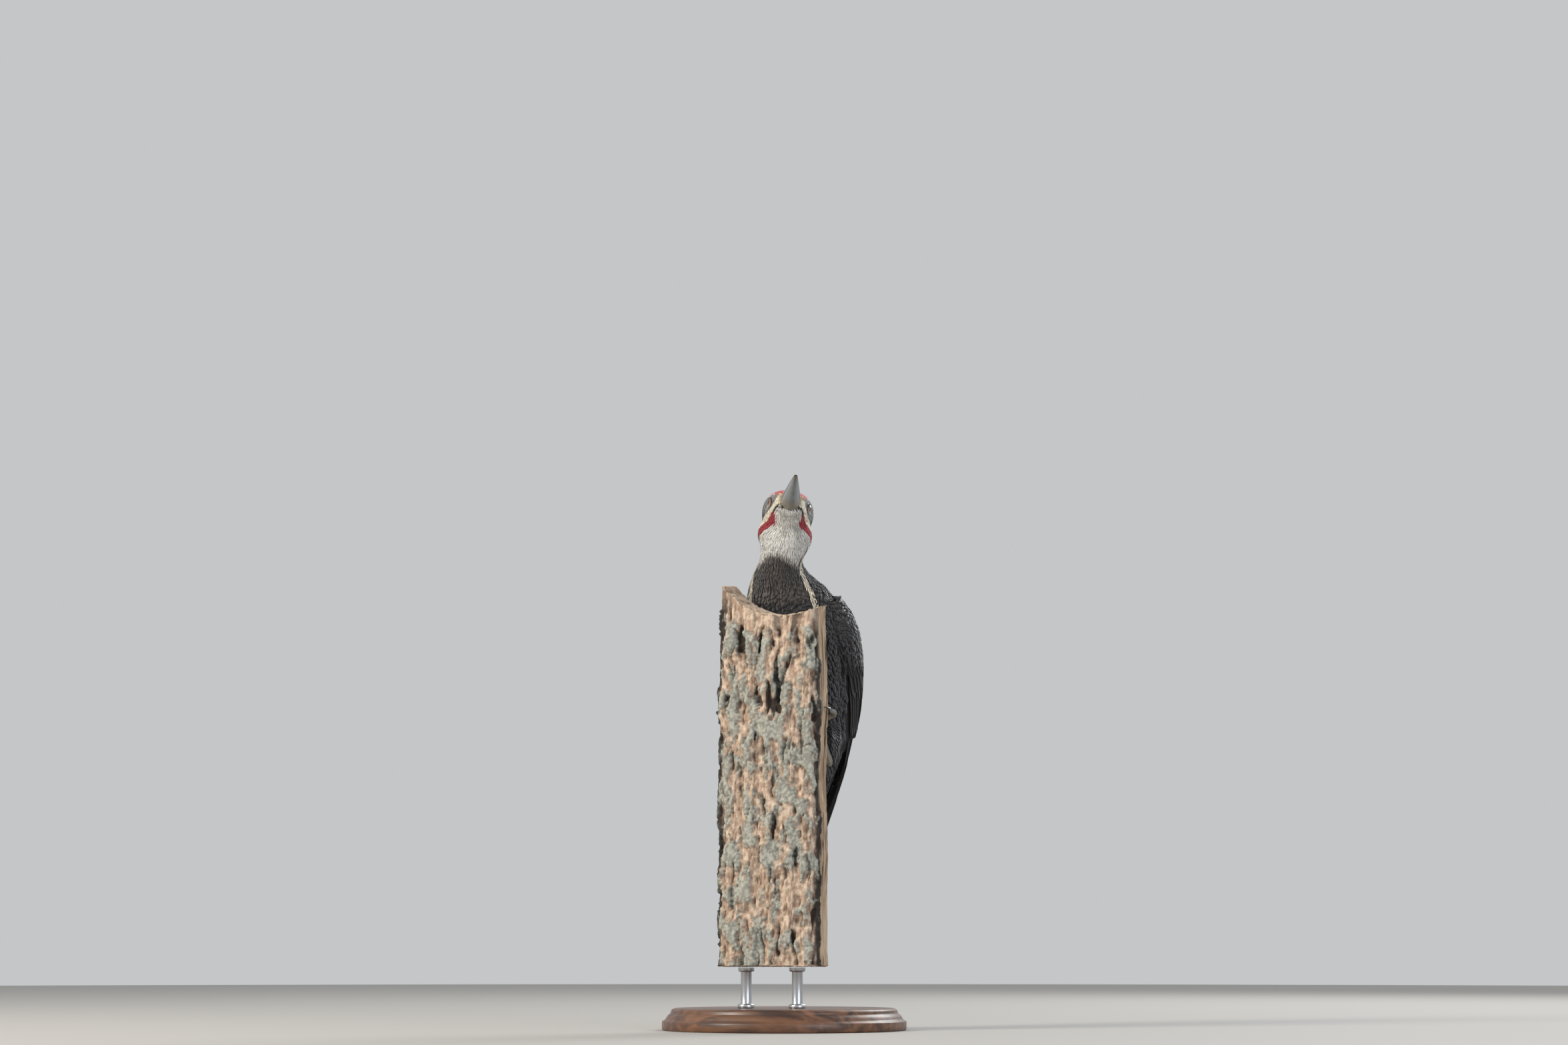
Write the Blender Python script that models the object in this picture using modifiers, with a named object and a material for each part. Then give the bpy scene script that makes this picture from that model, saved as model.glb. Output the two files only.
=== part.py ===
"""A life-size male pileated woodpecker, clinging behind a length split from a palm trunk on a display stand.

The bird faces -Y with its body upright and looks over the top of the perch, its head turned to its left.
Z is up, and the origin is the centre of the stand's underside. Lengths are in metres; tables are in mm.
"""

import math

import bmesh
import bpy
from mathutils import Matrix, Vector

MM = 0.001
GAP = 0.35 * MM                      # clearance between neighbouring solids

# The trunk and neck: rings round a line that rises from the tail coverts into the head.
# Height, centre x and y, half width, depth to the belly side, depth to the back side (mm).
BODY_KEYS = [
    (131, 0, 15.2, 15, 3.4, 4.4),    # ends of the tail coverts
    (158, 0, 22.7, 18.5, 9, 11),
    (186, 0, 30.5, 27, 18, 20),      # vent and rump
    (213, 0, 35.5, 35, 26, 27),      # lower belly
    (243, 0, 38, 41, 31, 32),        # belly
    (272, 0, 35.5, 43, 32, 35),      # breast, the widest place
    (296, 0, 29, 42.5, 30, 33),      # shoulders
    (316, -2, 20, 38, 26, 28.5),
    (332, -5, 11, 30.5, 22, 25),     # root of the neck
    (344, -5, 4, 22, 17.8, 22.5),
    (354, -2.5, -2, 15.8, 15.8, 20.5),  # the waist under the throat
    (364, 1, -5, 18.8, 17.5, 19.5),
    (372, 2.5, -6, 22.3, 18.5, 18.8),  # lower edge of the cheeks
    (380, 4, -7, 20, 17, 16.5),
    (388, 5, -8, 14, 9, 12),         # inside the head
]
TRUNK_TOP = 322 * MM                 # where trunk and neck part
SPINE_SIDES = 26
NECK_OVERLAP = 4 * MM                # how far the neck's loft starts below that, to be trimmed

# The head, in its own axes: forward, up and left of the point midway between the eyes.
EYE_POINT = Vector((9, -14, 393)) * MM
HEAD_YAW = math.radians(25)          # turned to the bird's left
HEAD_PITCH = math.radians(14.5)       # bill raised
HEAD_ROLL = math.radians(9)          # crown leaning to the bird's left
# Distance forward, height of the ring's centre, half width, depth down, depth up (mm).
HEAD_KEYS = [
    (-33, 2, 4, 4, 4),
    (-29, 1, 11, 10, 11),
    (-20, 0, 18.4, 17.5, 18),
    (-11, -1, 20.2, 18.5, 18.5),     # ear coverts, the widest place
    (-2, -1, 18, 18.5, 16),
    (4, -1, 15.9, 18, 13.7),
    (11, -2, 13.4, 15.2, 11.2),
    (20.5, -4, 9.8, 9.8, 7.9),
]
HEAD_SIDES = 26
CROWN_POWER = 2.7                    # 2 is a plain oval; more squares the crown
# Neck and head are melted into one: grid size, rounds of smoothing, faces kept.
HEAD_MELT = (1.4 * MM, 12, 1750)
NECK_CUT = Vector((-15, 0, -17.5)) * MM   # a point of the cut between head and neck, in head axes
NECK_CUT_NORMAL = Vector((-0.45, 0, -1))  # towards the neck

BILL_ROOT = 20 * MM
BILL_LENGTH = 50 * MM
# Share of the bill's length, half width, culmen height, mouth-line height, gonys height (mm).
BILL_KEYS = [
    (0.0, 7.6, 3.6, -5.0, -11.6),
    (0.15, 6.9, 2.6, -5.2, -11.4),
    (0.4, 5.2, 0.4, -5.6, -10.6),
    (0.7, 3.3, -2.4, -6.2, -9.3),
    (0.93, 1.7, -5.0, -6.7, -8.0),
    (1.0, 1.2, -6.1, -6.9, -7.4),
]
BILL_SIDES = 10

EYE_RADIUS = 5.8 * MM
EYE_OUT = 11.3 * MM                  # eye centre from the midline
EYE_FORWARD = 2.2 * MM
# The crest: forward, height, half width, depth down, depth up (mm).
CREST_KEYS = [
    (8, 5, 4, 3, 2),
    (2, 8, 7, 5, 4),
    (-5, 11.2, 10, 7, 6.2),
    (-12, 13.8, 11, 10, 6.8),
    (-20, 16.8, 10.5, 12, 7.4),
    (-29, 20.3, 8, 12, 8.2),
    (-36, 24.8, 5, 9, 6.9),
    (-42, 30, 2.6, 5, 4.2),
    (-46.5, 34, 0.7, 1, 1),
]

# The folded wing hugs this envelope, which leaves the body at the rump: as BODY_KEYS.
WING_KEYS = [
    (96, 0, 6, 16, 5, 8),
    (125, 0, 14, 20, 8, 11),
    (155, 0, 23, 25, 12, 14.5),
    (186, 0, 30.5, 31, 18, 22),
    (213, 0, 35.5, 36, 26, 27.5),
] + BODY_KEYS[4:10]
# Height, angle round the body of the lower and the upper edge (0 is the belly, 180 the back), thickness (mm).
WING_EDGES = [
    (98, 148, 158, 1.4),             # tip of the longest primary
    (112, 138, 166, 2.0),
    (132, 126, 170, 2.6),
    (155, 112, 173, 3.4),
    (182, 95, 176, 4.6),             # tertials end here
    (212, 82, 177, 5.4),
    (242, 74, 173, 6.0),
    (270, 68, 158, 6.4),
    (293, 66, 140, 6.6),
    (309, 69, 122, 6.0),
    (319, 77, 104, 4.0),             # bend of the wing
]
WING_GAP = 1.6 * MM                  # from the body to the wing, for the flats of their facets
WING_LENGTH_RINGS = 20
WING_WIDTH_STEPS = 7

# The tail: height, y of its middle, half width, how far its edges bend to the perch, thickness (mm).
TAIL_KEYS = [
    (45, -8.0, 24, 0.0, 1.8),
    (70, -3.4, 26, 0.6, 2.0),
    (100, 5.6, 23.5, 1.6, 2.4),
    (130, 14.6, 16.5, 2.2, 3.2),
]
TAIL_ROOT = 129.5 * MM
TAIL_TIPS = [45, 48.5, 55, 66, 82]   # height of each feather's tip, from the middle pair outwards (mm)
TAIL_NOTCH = 9 * MM                  # how far the gaps run up between the tips
TAIL_FEATHER = 5.2 * MM              # how much of each feather's width shows

# The legs, left side. The perch's back face is what they stand on.
PERCH_BACK = -10 * MM
ANKLE = Vector((33, 11, 196)) * MM
FOOT = Vector((29, -4.6, 227)) * MM
THIGH_TOP = Vector((22, 27, 224)) * MM
KNEE_OUT = Vector((2.5, -2, 2)) * MM # from the thigh's straight line to its bulge
THIGH_RADII = [15, 14.4, 13.4, 12.2, 10.8, 9.2, 7.6, 6.2, 4.6]
SHANK_RADIUS = 2.7 * MM
# Share of the shank's length, thickness in radii.
SHANK_SWELL = [(0, 0.6), (0.1, 1.35), (0.3, 1.02), (0.7, 0.95), (1, 1.3)]
SHANK_END = 0.82                     # share of the way to the foot where the foot's own piece begins
TOE_RADIUS = 2.1 * MM
TOE_SWELL = [1.25, 1.0, 1.12, 0.92, 1.1, 0.9, 0.98, 0.85, 0.95, 0.8, 0.9, 0.8, 0.75]
FOOT_MELT = (0.5 * MM, 3, 400)       # as HEAD_MELT
CLAW_RADIUS = 1.6 * MM
CLAW_POINT = 0.22                    # thickness of its tip
CLAW_GAP = 1.1 * MM                  # from a toe's end to its claw

# The perch, split from the wall of a palm trunk at the lower lip of a round hole.
PERCH_HALF_WIDTH = 40 * MM
PERCH_THICKNESS = 34 * MM
PERCH_BOTTOM = 46 * MM
LIP_LOW = 310 * MM                   # lowest point of the lip
LIP_RADIUS = 60 * MM
LIP_CENTRE_X = 14 * MM
PALM_RADIUS = 187 * MM               # of the whole trunk's bark side
RIM_WEAR = 4 * MM                    # how far the lip is worn down on the bark side
CORNER = 0.86                        # share of the half width where the corners begin to round off
BARK_CORNER = 5 * MM                 # how far the corners fall back on the bark side
SPLIT_CORNER = 4 * MM                # and on the split back
EDGE_WAVE = 0.65 * MM                # waviness of the sides
# The bark side is a grid. Broken fissures run up some of its columns, with ribs between them.
BARK_COLUMNS = 17
BARK_ROWS = 18
FISSURE_EVERY = 3                    # columns, 15 mm
FISSURE_DEPTH = 3.6 * MM
RIB_WAVE = 0.9 * MM                  # how far the ribs stand up or sink between them
RIB_SWAY = 1.5 * MM                  # how far they sway sideways

# The board, from its foot to its top: how far inside the radius, and height (mm).
BOARD_RADIUS = 91
BOARD_PROFILE = [(0.8, 0), (0, 1.2), (0, 6.6), (2.8, 8.6), (6.4, 12.4), (7.2, 14.6), (10, 16)]
BOARD_SIDES = 44
ROD_RADIUS = 4 * MM
ROD_SIDES = 20
ROD_X = 20 * MM

SHARP_EDGE = math.radians(50)        # edges sharper than this aren't shaded smooth

RED = (0.52, 0.012, 0.018, 1)
BLACK = (0.022, 0.021, 0.022, 1)
HORN = (0.12, 0.13, 0.13, 1)
SCALES = (0.07, 0.075, 0.08, 1)
AMBER = (0.35, 0.16, 0.06, 1)
PALM = (0.42, 0.36, 0.29, 1)
STAINED = (0.05, 0.03, 0.02, 1)
STEEL = (0.6, 0.6, 0.6, 1)


# Scene and materials

def clear_scene():
    for obj in list(bpy.data.objects):
        bpy.data.objects.remove(obj)


def new_collection(name):
    made = bpy.data.collections.new(name)
    bpy.context.scene.collection.children.link(made)
    return made


def finish(name, colour, roughness, metallic=0.0):
    material = bpy.data.materials.new(name)
    material.use_nodes = True
    shader = material.node_tree.nodes["Principled BSDF"]
    shader.inputs["Base Color"].default_value = colour
    shader.inputs["Roughness"].default_value = roughness
    shader.inputs["Metallic"].default_value = metallic
    return material


# Smooth tables and lofts

def along(keys, where):
    """The key table's row at this value of its first column, on a smooth curve through the rows."""
    last = len(keys) - 2
    i = 0
    while i < last and where > keys[i + 1][0]:
        i += 1
    span = keys[i + 1][0] - keys[i][0]
    t = min(max((where - keys[i][0]) / span, 0.0), 1.0)

    def slope(k, column):
        low, high = max(k - 1, 0), min(k + 1, len(keys) - 1)
        return (keys[high][column] - keys[low][column]) / (keys[high][0] - keys[low][0])

    row = []
    for c in range(1, len(keys[0])):
        a, b = keys[i][c], keys[i + 1][c]
        ta, tb = slope(i, c) * span, slope(i + 1, c) * span
        row.append(
            a * (2 * t**3 - 3 * t**2 + 1) + ta * (t**3 - 2 * t**2 + t)
            + b * (3 * t**2 - 2 * t**3) + tb * (t**3 - t**2)
        )
    return row


def spread(low, high, count):
    """`count` values from low to high, both included."""
    return [low + (high - low) * i / (count - 1) for i in range(count)]


def smooth_but_for_edges(mesh):
    mesh.shade_smooth()
    mesh.set_sharp_from_angle(angle=SHARP_EDGE)


def mesh_object(name, collection, material, points, faces):
    mesh = bpy.data.meshes.new(name)
    mesh.from_pydata(points, [], faces)
    mesh.materials.append(material)
    obj = bpy.data.objects.new(name, mesh)
    collection.objects.link(obj)
    return obj


def loft(name, collection, material, rings):
    """A closed solid through rings of equally many points, with flat ends."""
    sides = len(rings[0])
    faces = []
    for k in range(len(rings) - 1):
        for i in range(sides):
            j = (i + 1) % sides
            faces.append((k * sides + i, k * sides + j, (k + 1) * sides + j, (k + 1) * sides + i))
    faces.append(tuple(reversed(range(sides))))
    faces.append(tuple(range((len(rings) - 1) * sides, len(rings) * sides)))
    points = [point for ring in rings for point in ring]
    obj = mesh_object(name, collection, material, points, faces)
    smooth_but_for_edges(obj.data)
    return obj


def oval(centre, side, front, half_width, to_front, to_back, count, back_power=2.0):
    """A ring that starts at the front and runs towards the side. A back power over 2 squares its far half."""
    ring = []
    for i in range(count):
        angle = 2 * math.pi * i / count
        across, along_front = math.sin(angle), math.cos(angle)
        if along_front > 0:
            ring.append(centre + side * half_width * across + front * to_front * along_front)
            continue
        out = (abs(across) ** back_power + abs(along_front) ** back_power) ** (-1 / back_power)
        ring.append(centre + side * half_width * across * out + front * to_back * along_front * out)
    return ring


def body_frame(keys, height):
    """Centre, side and front directions, and sizes in metres, of the body's ring at this height in mm."""
    x, y, half_width, to_front, to_back = along(keys, height)
    above, below = along(keys, height + 1), along(keys, height - 1)
    rise = Vector((above[0] - below[0], above[1] - below[1], 2)).normalized()
    front = Vector((0, -1, 0))
    front = (front - rise * front.dot(rise)).normalized()
    centre = Vector((x, y, height)) * MM
    return centre, rise.cross(front), front, half_width * MM, to_front * MM, to_back * MM


def on_body(keys, height, angle, lift):
    """A point `lift` outside the body's surface, at this height in mm and angle in degrees from the belly."""
    centre, side, front, half_width, to_front, to_back = body_frame(keys, height)
    turn = math.radians(angle)
    depth = to_front if math.cos(turn) > 0 else to_back
    return centre + side * (half_width + lift) * math.sin(turn) + front * (depth + lift) * math.cos(turn)


# Changes to finished meshes

def evaluated_mesh(obj):
    bpy.context.view_layer.update()
    graph = bpy.context.evaluated_depsgraph_get()
    return bpy.data.meshes.new_from_object(obj.evaluated_get(graph))


def baked(obj):
    """Replaces the object's mesh or curve with what its modifiers make of it."""
    mesh = evaluated_mesh(obj)
    closed = bmesh.new()
    closed.from_mesh(mesh)
    bmesh.ops.remove_doubles(closed, verts=closed.verts, dist=1e-5)
    closed.to_mesh(mesh)
    closed.free()
    name, matrix, collection = obj.name, obj.matrix_world.copy(), obj.users_collection[0]
    material = obj.data.materials[0]
    bpy.data.objects.remove(obj)
    made = bpy.data.objects.new(name, mesh)
    made.matrix_world = matrix
    made.data.materials.clear()
    made.data.materials.append(material)
    collection.objects.link(made)
    return made


def melted(name, collection, material, pieces, voxel, rounds, triangles):
    """One smooth body from overlapping pieces, brought down to about this many triangles."""
    joined = bmesh.new()
    for piece in pieces:
        mesh = evaluated_mesh(piece)
        mesh.transform(piece.matrix_world)
        joined.from_mesh(mesh)
        bpy.data.objects.remove(piece)
    mesh = bpy.data.meshes.new(name)
    joined.to_mesh(mesh)
    joined.free()
    mesh.materials.append(material)
    obj = bpy.data.objects.new(name, mesh)
    collection.objects.link(obj)
    remesh = obj.modifiers.new("Remesh", "REMESH")
    remesh.mode = "VOXEL"
    remesh.voxel_size = voxel
    smooth = obj.modifiers.new("Smooth", "SMOOTH")
    smooth.factor = 0.5
    smooth.iterations = rounds
    obj = baked(obj)
    decimate = obj.modifiers.new("Decimate", "DECIMATE")
    decimate.ratio = triangles / (2 * len(obj.data.polygons))
    obj = baked(obj)
    smooth_but_for_edges(obj.data)
    return obj


def part_of(source, name, collection, material, point, normal):
    """A copy of what lies behind the plane, with a cap on the cut."""
    half = bmesh.new()
    half.from_mesh(source.data)
    everything = half.verts[:] + half.edges[:] + half.faces[:]
    cut = bmesh.ops.bisect_plane(
        half, geom=everything, dist=1e-6, plane_co=point, plane_no=normal, clear_outer=True
    )
    edges = [e for e in cut["geom_cut"] if isinstance(e, bmesh.types.BMEdge)]
    bmesh.ops.edgeloop_fill(half, edges=edges)
    bmesh.ops.recalc_face_normals(half, faces=half.faces)
    mesh = bpy.data.meshes.new(name)
    half.to_mesh(mesh)
    half.free()
    mesh.materials.clear()
    mesh.materials.append(material)
    obj = bpy.data.objects.new(name, mesh)
    collection.objects.link(obj)
    return obj


def carve(obj, cutter):
    """Cuts the cutter, which stays a hidden guide, out of the object."""
    cutter.hide_render = True
    cutter.display_type = "WIRE"
    boolean = obj.modifiers.new("Cut", "BOOLEAN")
    boolean.operation = "DIFFERENCE"
    boolean.object = cutter


def swollen(obj, name, collection, by):
    """A hidden copy of the object, larger by this much all round."""
    copy = bpy.data.objects.new(name, evaluated_mesh(obj))
    copy.matrix_world = obj.matrix_world
    collection.objects.link(copy)
    displace = copy.modifiers.new("Swell", "DISPLACE")
    displace.strength = by
    displace.mid_level = 0
    copy.hide_render = True
    copy.display_type = "WIRE"
    return copy


def tube(name, collection, material, points, radii, sides=8):
    """A round rod through the points, with its own radius at each."""
    curve = bpy.data.curves.new(name, "CURVE")
    curve.dimensions = "3D"
    curve.bevel_depth = 1.0
    curve.bevel_resolution = sides // 2 - 2
    curve.use_fill_caps = True
    spline = curve.splines.new("POLY")
    spline.points.add(len(points) - 1)
    for target, point, radius in zip(spline.points, points, radii):
        target.co = (*point, 1)
        target.radius = radius
    curve.materials.append(material)
    obj = bpy.data.objects.new(name, curve)
    collection.objects.link(obj)
    return obj


def smooth_path(points, steps):
    """Points on a smooth curve through these, `steps` to each stretch."""
    keys = [(i, *point) for i, point in enumerate(points)]
    return [Vector(along(keys, i)) for i in spread(0, len(points) - 1, steps * (len(points) - 1) + 1)]


# The bird

def head_matrix():
    level = Vector((math.sin(HEAD_YAW), -math.cos(HEAD_YAW), 0))
    forward = level * math.cos(HEAD_PITCH) + Vector((0, 0, math.sin(HEAD_PITCH)))
    level_up = level * -math.sin(HEAD_PITCH) + Vector((0, 0, math.cos(HEAD_PITCH)))
    level_left = level_up.cross(forward)
    up = level_up * math.cos(HEAD_ROLL) + level_left * math.sin(HEAD_ROLL)
    left = up.cross(forward)
    turned = Matrix((forward, left, up)).transposed().to_4x4()
    return Matrix.Translation(EYE_POINT) @ turned


HEAD = head_matrix()


def in_head(forward, left, up):
    """A point of the world from head axes, in metres."""
    return HEAD @ Vector((forward, left, up))


def head_loft(name, collection, material, keys, count, sides, crown_power=2.0):
    """Rings across the head axes through a key table."""
    down, left = -HEAD.col[2].to_3d(), HEAD.col[1].to_3d()
    rings = []
    for forward in spread(keys[0][0], keys[-1][0], count):
        up, half_width, to_chin, to_crown = along(sorted(keys), forward)
        centre = in_head(forward * MM, 0, up * MM)
        sizes = half_width * MM, to_chin * MM, to_crown * MM
        rings.append(oval(centre, left, down, *sizes, sides, crown_power))
    obj = loft(name, collection, material, rings)
    if keys[0][0] > keys[-1][0]:
        obj.data.flip_normals()
    return obj


def make_trunk(parts, black):
    rings = []
    for height in spread(BODY_KEYS[0][0], TRUNK_TOP / MM - GAP / MM / 2, 20):
        rings.append(oval(*body_frame(BODY_KEYS, height), SPINE_SIDES))
    return loft("trunk", parts, black, rings)


def make_neck_and_head(parts, guides, black):
    rings = []
    for height in spread((TRUNK_TOP - NECK_OVERLAP) / MM, BODY_KEYS[-1][0], 16):
        rings.append(oval(*body_frame(BODY_KEYS, height), SPINE_SIDES))
    neck = loft("neck_loft", guides, black, rings)
    skull = head_loft("skull", guides, black, HEAD_KEYS, 18, HEAD_SIDES, CROWN_POWER)
    whole = melted("neck_and_head", guides, black, [neck, skull], *HEAD_MELT)
    whole.hide_render = True
    whole.display_type = "WIRE"

    cut, towards_neck = in_head(*NECK_CUT), (HEAD.to_3x3() @ NECK_CUT_NORMAL).normalized()
    centre, side, front, *_ = body_frame(BODY_KEYS, TRUNK_TOP / MM)
    rise = front.cross(side)
    above_trunk = centre + rise * GAP / 2
    neck = part_of(whole, "neck_half", guides, black, cut + towards_neck * GAP / 2, -towards_neck)
    trimmed = part_of(neck, "neck", parts, black, above_trunk, -rise)
    bpy.data.objects.remove(neck)
    head = part_of(whole, "head_half", guides, black, cut - towards_neck * GAP / 2, towards_neck)
    forward = HEAD.col[0].to_3d()
    faced = part_of(head, "head", parts, black, in_head(BILL_ROOT - GAP, 0, 0), forward)
    bpy.data.objects.remove(head)
    for obj in (trimmed, faced):
        smooth_but_for_edges(obj.data)
    return trimmed, faced, whole


def make_bill(parts, horn):
    """Two lofts of half-round sections. The upper one's edges turn in under it, a lip_drop lower."""
    lip_in, lip_drop = Vector((0, 0.5, 0)) * MM, Vector((0, 0, 0.1)) * MM
    arch_power, keel_power = 0.85, 0.8
    upper, lower = [], []
    for share in spread(0, 1, 12):
        half_width, culmen, mouth, gonys = (value * MM for value in along(BILL_KEYS, share))
        forward = BILL_ROOT + share * BILL_LENGTH
        arch, keel = [], []
        for i in range(BILL_SIDES + 1):
            turn = math.pi * i / BILL_SIDES
            across = half_width * math.cos(turn)
            top = mouth + GAP / 4 + (culmen - mouth) * math.sin(turn) ** arch_power
            foot = mouth - GAP + (gonys - mouth) * math.sin(turn) ** keel_power
            arch.append(Vector((forward, across, top)))
            keel.append(in_head(forward, across, foot))
        arch += [arch[-1] + lip_in - lip_drop, arch[0] - lip_in - lip_drop]
        upper.append([in_head(*point) for point in arch])
        lower.append(list(reversed(keel)))
    loft("bill_upper", parts, horn, upper)
    loft("bill_lower", parts, horn, lower)


def make_eyes(parts, guides, head, amber):
    for side, name in ((1, "left"), (-1, "right")):
        place = in_head(EYE_FORWARD, side * EYE_OUT, 0)
        for radius, label, collection in ((EYE_RADIUS, "eye_", parts), (EYE_RADIUS + GAP, "socket_", guides)):
            ball = bmesh.new()
            bmesh.ops.create_icosphere(ball, subdivisions=2, radius=radius)
            mesh = bpy.data.meshes.new(label + name)
            ball.to_mesh(mesh)
            ball.free()
            mesh.materials.append(amber)
            mesh.shade_smooth()
            obj = bpy.data.objects.new(label + name, mesh)
            obj.location = place
            collection.objects.link(obj)
        carve(head, obj)
    head = baked(head)
    smooth_but_for_edges(head.data)


def make_crest(parts, guides, whole, red):
    crest = head_loft("crest", parts, red, CREST_KEYS, 13, 14)
    carve(crest, swollen(whole, "head_and_gap", guides, GAP))
    crest = baked(crest)
    smooth_but_for_edges(crest.data)


def make_wing(parts, side, black):
    """The wing on one side: side is 1 for the left and -1 for the right."""
    rings = []
    for height in spread(WING_EDGES[0][0], WING_EDGES[-1][0], WING_LENGTH_RINGS):
        low, high, thickness = along(WING_EDGES, height)
        outer, inner = [], []
        for i in range(WING_WIDTH_STEPS + 1):
            share = i / WING_WIDTH_STEPS
            angle = side * (low + (high - low) * share)
            lift = (0.7 + (thickness - 0.7) * math.sin(math.pi * share) ** 0.4) * MM
            outer.append(on_body(WING_KEYS, height, angle, WING_GAP + lift))
            inner.append(on_body(WING_KEYS, height, angle, WING_GAP))
        rings.append(outer + list(reversed(inner)))
    obj = loft("wing_left" if side > 0 else "wing_right", parts, black, rings)
    if side < 0:
        obj.data.flip_normals()
    return obj


def tail_tip(across):
    """Height of the tail's end at this distance from its middle, along the row of pointed feathers."""
    place = abs(across) / TAIL_FEATHER
    feather = min(int(place), len(TAIL_TIPS) - 1)
    off = abs(place - feather - 0.5) * 2
    return TAIL_TIPS[feather] * MM + TAIL_NOTCH * off**1.5


def make_tail(parts, black):
    columns = 4 * len(TAIL_TIPS) + 1
    spacing = TAIL_FEATHER * len(TAIL_TIPS)
    faces_up = []
    for share in spread(0, 1, 6):
        front, back = [], []
        for across in spread(-1, 1, columns):
            low = tail_tip(across * spacing)
            height = low + (TAIL_ROOT - low) * share
            y, half_width, bend, thickness = (value * MM for value in along(TAIL_KEYS, height / MM))
            x = across * half_width
            middle = y - bend * across**2
            edge = 0.5 + 0.5 * (1 - across**6) * min(1, 0.3 + share * 4)
            front.append(Vector((x, middle - thickness / 2 * edge, height)))
            back.append(Vector((x, middle + thickness / 2 * edge, height)))
        faces_up.append(front + list(reversed(back)))
    return loft("tail", parts, black, faces_up)


def perch_edge(height):
    """Half width of the perch at this height."""
    wave = math.sin(height / (17 * MM)) + 0.6 * math.sin(height / (6.1 * MM) + 1)
    return PERCH_HALF_WIDTH + EDGE_WAVE * wave


def lip_height(across):
    """Height of the perch's top at this x: the bottom of a round hole."""
    off = min(abs(across - LIP_CENTRE_X), LIP_RADIUS * 0.82)
    return LIP_LOW + LIP_RADIUS - math.sqrt(LIP_RADIUS**2 - off**2)


def bark_depth(column, row):
    """How far the bark sinks at this place of the grid: deep in a fissure, and a little on the ribs."""
    on_fissure = column % FISSURE_EVERY == 1 and 0 < column < BARK_COLUMNS - 1
    if on_fissure and math.sin(row * 1.9 + column * 2.7) > -0.45:
        return FISSURE_DEPTH * (0.75 + 0.25 * math.sin(row * 1.3 + column))
    return RIB_WAVE * (math.sin(row * 0.9 + column * 1.7) + 0.7 * math.sin(row * 2.3 - column))


def make_perch(parts, wood):
    """Rows of closed rings up the perch; across it, bark side first, the same columns front and back."""
    rings = []
    for row, share in enumerate(spread(0, 1, BARK_ROWS)):
        bark, split = [], []
        for column, across in enumerate(spread(-1, 1, BARK_COLUMNS)):
            rough_height = PERCH_BOTTOM + share * (LIP_LOW - PERCH_BOTTOM)
            x = across * perch_edge(rough_height)
            height = PERCH_BOTTOM + share * (lip_height(x) - PERCH_BOTTOM)
            corner = (max(0, abs(across) - CORNER) / (1 - CORNER)) ** 2
            round_front = PERCH_BACK - PERCH_THICKNESS + x * x / (2 * PALM_RADIUS)
            bark_y = round_front + corner * BARK_CORNER + (1 - corner) * bark_depth(column, row)
            sway = (1 - corner) * RIB_SWAY * math.sin(row * 0.8 + column * 2.2)
            worn = RIM_WEAR * max(0, (share - 0.9) / 0.1)
            bark.append(Vector((x + sway, bark_y + worn * 0.4, height - worn)))
            split.append(Vector((x, PERCH_BACK - corner * SPLIT_CORNER, height)))
        rings.append(bark + list(reversed(split)))
    sides = 2 * BARK_COLUMNS
    faces = []
    for k in range(BARK_ROWS - 1):
        for i in range(sides):
            j = (i + 1) % sides
            faces.append((k * sides + i, k * sides + j, (k + 1) * sides + j, (k + 1) * sides + i))
    top = (BARK_ROWS - 1) * sides
    for i in range(BARK_COLUMNS - 1):
        faces.append((sides - 1 - i, sides - 2 - i, i + 1, i))
        faces.append((top + i, top + i + 1, top + sides - 2 - i, top + sides - 1 - i))
    points = [point for ring in rings for point in ring]
    perch = mesh_object("perch", parts, wood, points, faces)
    merge_flats(perch.data)
    return perch


def merge_flats(mesh):
    """Makes each flat area one face."""
    flat = bmesh.new()
    flat.from_mesh(mesh)
    bmesh.ops.dissolve_limit(flat, angle_limit=math.radians(0.1), verts=flat.verts, edges=flat.edges)
    flat.to_mesh(mesh)
    flat.free()


def mirrored(point, side):
    return Vector((point[0] * side, point[1], point[2]))


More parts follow.
